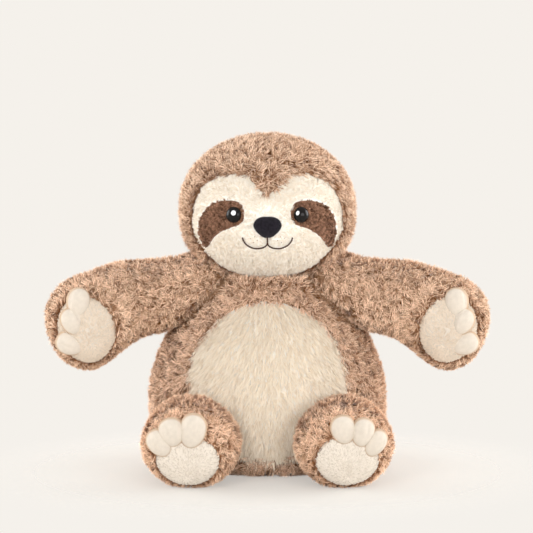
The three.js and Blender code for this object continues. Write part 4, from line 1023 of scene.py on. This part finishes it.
class SLOTH_OT_limbs(bpy.types.Operator):
    """Arms and legs with their pile, pads and claws"""
    bl_idname = "sloth.limbs"
    bl_label = "Arms and legs"

    def execute(self, context):
        c = colours()
        finish = {"sheen": 0.15, "spacing": 0.0007, "depth": 0.2, "spread": 0.03}
        # The seamed velour turns tan near each claw's base: a seam line with painted shade where it meets the pad
        cloths = (cloth_material("Limb plush backing", c.brown_backing, sheen=0.02),
                  cloth_material("Cream velour", c.velour, **finish),
                  seam_shade_material("Cream velour with seam shade", c.velour, (0.55, 0.37, 0.23), **finish))
        for limb in (ARM, LEG):
            self.sew_limbs(limb, *cloths)
        return {"FINISHED"}

    def sew_limbs(self, limb, skin, velour, claw_velour):
        """Both arms, or both legs, from the left one's form"""
        c, p, kind, painted_nap_shade = colours(), sizes(), limb.kind, limb.painted_nap_shade
        brown = pile_material("Curled pile of the %ss" % kind, c.brown_root, c.brown_tip, limb.dullest,
                              (1.43, 1.55, 1.66))
        # The nap's colours are multiplied by the limb's painted shade, so the palms come out darker than the soles of
        # the same velour
        nap = pile_material("Velour nap of the %ss" % kind, [v ** 0.4 * w for v, w in zip(c.cream_root, painted_nap_shade)],
                            [v * w for v, w in zip(c.cream_tip, painted_nap_shade)], (0.985, 0.98, 0.975), (1.005, 1.005, 1.005),
                            sheen=0.1)
        rings, (along, _, _) = limb_rings(limb), limb_frame(limb)
        ends = (limb.pivot + along * limb.root * math.cos(ROOT_MOUTH),
                limb.pivot + along * (limb.length + limb.cap))
        core = rings.mean(axis=1, keepdims=True)
        middle, across, over, front, outward = limb_plane(limb)
        half = np.array([limb.pad_half_width, limb.pad_half_height])
        pad_middle = np.array([outward * limb.pad_across, limb.pad_above])
        turns = full_turn(96)

        def depth(u, v):
            return limb_depth(limb, u * outward, v)

        def over_limb(u, v, height):
            slope_u, slope_v = slopes(depth, u, v)
            at = middle + np.outer(u, across) + np.outer(v, over) + np.outer(depth(u, v), front)
            facing = unit(np.outer(-slope_u, across) + np.outer(-slope_v, over) + front)
            return at + facing * np.reshape(height, (-1, 1))

        def on_pad(points):
            """Where points lie on the pad's plane, in shares of its half sizes, above it and in front of it"""
            local = points - middle
            u, v = local @ across, local @ over
            return (u - pad_middle[0]) / half[0], (v - pad_middle[1]) / half[1], v, local @ front > 0

        def off_pad(points):
            u, v, _, before = on_pad(points)
            covered = (u ** 2 + v ** 2 < 1) & before
            return ~covered & (torso_depth_inside(points) < -0.5) & (points[:, 2] > 1.5)

        def brushed(points):
            away = points - pad_centre
            near = np.exp(-(np.linalg.norm(away, axis=1) / 42) ** 4)[:, None]
            return unit(away) * near + (along + (0, 0, -0.5)) * (1 - near)

        def shorn(points):
            u, v, above, before = on_pad(points)
            beside = np.where(before, np.clip(0.85 + (np.hypot(u, v) - 1) * 2.2, 0.85, 1), 1)
            beside = beside * np.where(above < 0, 1 + 0.4 * above / 38, 1)
            return np.minimum(beside, seam_trim(torso_depth_inside(points), limb.shortest))

        outline = pad_middle + np.stack([half[0] * np.cos(turns), half[1] * np.sin(turns)], 1)
        pad = panel(outline, pad_middle, over_limb, PAD_RISE, sunk=1.0, steps=20)
        pad_centre = over_limb(*pad_middle[:, None], 0)[0]
        for side, label in SIDES:
            body = "%s_%s" % (kind, label)
            pad_name = "%s_%s" % (limb.pad, label)
            seed = limb.seed + side
            sewn(body + "_sewn", body + "_skin", rings, ends, skin, body, "brown_plush", 0.85, side)
            stuffed(body + "_fill", flip(rings, side), flip(core, side), [flip(end, side) for end in ends], body)
            lay_pile(body + "_pile", body, brown, "brown_plush", "limb", rings, core, p.curl_density, off_pad,
                     brushed, p.curl_length / MM * LIMB_SHORTER, seed, side, shorn)
            lay_pile(pad_name + "_nap", body, nap, "cream_velour", "nap", pad[0][2:], pad_centre - front * 30,
                     NAP_DENSITY, lambda points: np.ones(len(points), bool),
                     lambda points: points - pad_centre + over * 12, NAP_PILE, seed + 20, side)
            sewn(pad_name + "_sewn", pad_name, *pad, velour, body, "cream_velour", 0.7, side)
            for index, claw in enumerate(LEFT_TOES if body == "leg_left" else limb.claws):
                self.sew_claw(limb, "%s_%s_%d" % (limb.claw, label, index + 1), claw, limb.creases[index],
                              claw_velour, body, side)

    def sew_claw(self, limb, node, claw, crease_at, material, body, side):
        """One stuffed finger or toe on the limb's rounded end"""
        (cx, cy), shares, turn = claw
        middle, across, over, front, outward = limb_plane(limb)
        half = [a * b * CLAW_FULLNESS for a, b in zip(CLAW_SIZES, shares)]
        if limb is ARM:
            deep = limb.side * math.sqrt(1 - (cx * limb.over / limb.cap) ** 2 - cy ** 2)
        else:
            deep = limb.cap * (1 - abs(cx) ** 2.5 - abs(cy) ** 2.5) ** (1 / 2.5)
        base_width = limb.over if limb is ARM else limb.side
        place = middle + across * (outward * cx * base_width) + over * (cy * limb.over) + front * deep
        place = place + front * CLAW_LIFT
        angle = math.radians(turn)
        lengthwise = over * math.cos(angle) + np.cross(front, over) * math.sin(-outward * angle)
        rings, marks = claw_rings(place, half, lengthwise, np.cross(lengthwise, front), front, crease_at)
        ends = place - lengthwise * half[0], place + lengthwise * half[0]
        piece = sewn(node + "_sewn", node, rings, ends, material, body, "cream_velour", 0.9, side)
        # Each point's share of the seam colour, partly painted shade at the claw's base
        seam = piece.data.attributes.new("seam", "FLOAT", "POINT")
        seam.data.foreach_set("value", np.array(marks, np.float32))


class SLOTH_OT_face_details(bpy.types.Operator):
    """Domed eyes, the stitched nose, the mouth's thread and the freckle stitches"""
    bl_idname = "sloth.face_details"
    bl_label = "Eyes, nose and mouth"

    def execute(self, context):
        gloss, _, _, _ = new_material("Black eye gloss", {
            "Base Color": (0.004, 0.003, 0.003, 1), "Roughness": 0.05, "Specular IOR Level": 0.22})
        eye = np.array([EYE_HALF_SPACING]), np.array([HEAD_CENTRE[2]])
        seat = over_head(*eye, 0.0)[0]
        axis = over_head(*eye, 1.0)[0] - seat
        flange, crown = 0.3 + EYE_FLANGE, EYE_HEIGHT - EYE_FLANGE
        profile = [(0, SHANK_END), (SHANK_RADIUS, SHANK_END)]
        for rib in range(5):
            profile += [(RIB_RADIUS, -13.5 + rib * RIB_SPACING), (SHANK_RADIUS, -12.3 + rib * RIB_SPACING)]
        profile += [(SHANK_RADIUS, 0.3), (EYE_RADIUS - 0.65, 0.3), (EYE_RADIUS - 0.1, 0.7), (EYE_RADIUS, flange)]
        angles = np.linspace(0, math.pi / 2, 18)[1:-1]
        profile += [(EYE_RADIUS * math.cos(a), flange + crown * math.sin(a)) for a in angles] + [(0, flange + crown)]
        thread = {"roughness": 0.7, "sheen": 0.1, "spacing": 0.0004}
        nose_cloth = cloth_material("Nose thread", colours().nose, roughness=0.7, sheen=0.25, spacing=0.0005,
                                    depth=0.5, spread=0.25)
        mouth_thread = cloth_material("Mouth thread", (0.06, 0.03, 0.022), **thread)
        freckle_thread = cloth_material("Freckle thread", (0.3, 0.16, 0.09), **thread)
        mouth = even_path(MOUTH, 0.2)
        for side, label in SIDES:
            name = "eye_%s_dome" % label
            dome = turned_profile(name, profile, flip(seat, side), flip(axis, side))
            add_piece(name, dome, gloss, "head", "eye_plastic", "eye_" + label)
            name = "mouth_stitch_" + label
            line = flip(over_head(*mouth.T, 2.5), side)
            add_piece(name, sweep(name, line, MOUTH_THREAD, sides=10, plies=2, pitch=1.9), mouth_thread, "head",
                      "nose_thread")
            for index, (x, z) in enumerate(FRECKLES):
                place = over_head(np.array([x - 0.4, x, x + 0.4]), np.array([z + 0.2, z, z - 0.2]), 2.7)
                place[1] += unit(place[1] - HEAD_CENTRE) * 0.3
                name = "freckle_%s_%d" % (label, index + 1)
                add_piece(name, sweep(name, flip(place, side), FRECKLE_THREAD), freckle_thread, "head",
                          "nose_thread")

        def stitched(x, z, height):
            rib = np.abs(np.sin(math.pi * (x + 0.15 * np.sin(z * 0.9)) / 1.05))
            return over_head(x, z, np.maximum(height, -1.2) + np.where(height > 0.4, 0.26 * rib, 0))

        outline = np.array([(x * NOSE_HALF_WIDTH, NOSE_TOP - NOSE_HEIGHT + z * NOSE_HEIGHT) for x, z in NOSE_SHARES])
        nose = panel(smooth_outline(mirrored_loop(outline), 360), np.array([0.0, NOSE_TOP - 7.5]), stitched,
                     NOSE_RISE, sunk=1.0, steps=44, crown=3.4)
        sewn("nose_stitched", "nose", *nose, nose_cloth, "head", "nose_thread", 0.9)
        return {"FINISHED"}


class SLOTH_OT_features(bpy.types.Operator):
    """The neck's thread ring, and finishes for the seams, the washers and the bean pouch"""
    bl_idname = "sloth.features"
    bl_label = "Seams and filling"

    def execute(self, context):
        thread = cloth_material("Seam thread", colours().brown_backing, sheen=0.02, spacing=0.0005, depth=0.6)
        pouch = cloth_material("Bean pouch cloth", (0.62, 0.57, 0.48), spacing=0.0008, depth=0.6)
        washer = cloth_material("Washer plastic", (0.75, 0.75, 0.72), roughness=0.45, sheen=0.0, spacing=0.001,
                                depth=0.05, spread=0.01)
        turns = np.linspace(0, 2 * math.pi, 97)
        low = np.full(len(turns), -math.asin(0.965 ** (HEAD_LOWER_ROUNDNESS / 2)))
        ring = head_points(low, turns)
        ring += unit(ring - HEAD_CENTRE) * 0.6
        twisted = sweep("neck_seam_stitched", ring, NECK_THREAD, sides=12, plies=2, pitch=3.0)
        add_piece("neck_seam_stitched", twisted, thread, "neck", "seam_thread", "neck_seam")
        chosen = (("eye_washer", washer), ("seam", thread), ("pouch", pouch))
        for name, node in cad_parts.items():
            for word, material in chosen:
                if word in name:
                    node.data.materials.clear()
                    node.data.materials.append(material)
        return {"FINISHED"}


class SLOTH_PT_panel(bpy.types.Panel):
    """The sloth's pieces and what can be changed about them"""
    bl_idname = "SLOTH_PT_panel"
    bl_label = "Plush sloth"
    bl_space_type = "VIEW_3D"
    bl_region_type = "UI"
    bl_category = "Plush sloth"

    def draw(self, context):
        for group in (context.scene.sloth_pile, context.scene.sloth_colours):
            for name in group.bl_rna.properties.keys():
                if name not in ("rna_type", "name"):
                    self.layout.prop(group, name)
        for step in STEPS:
            self.layout.operator(step.bl_idname)


STEPS = (SLOTH_OT_stage, SLOTH_OT_head, SLOTH_OT_torso, SLOTH_OT_limbs, SLOTH_OT_face_details, SLOTH_OT_features)
CLASSES = (PileSettings, ColourSettings, *STEPS, SLOTH_PT_panel)


def register():
    for item in CLASSES:
        bpy.utils.register_class(item)
    bpy.types.Scene.sloth_pile = PointerProperty(type=PileSettings)
    bpy.types.Scene.sloth_colours = PointerProperty(type=ColourSettings)


def unregister():
    del bpy.types.Scene.sloth_pile, bpy.types.Scene.sloth_colours
    for item in reversed(CLASSES):
        bpy.utils.unregister_class(item)


def main():
    register()
    for step in STEPS:
        family, action = step.bl_idname.split(".")
        getattr(getattr(bpy.ops, family), action)()


if __name__ == "__main__":
    main()
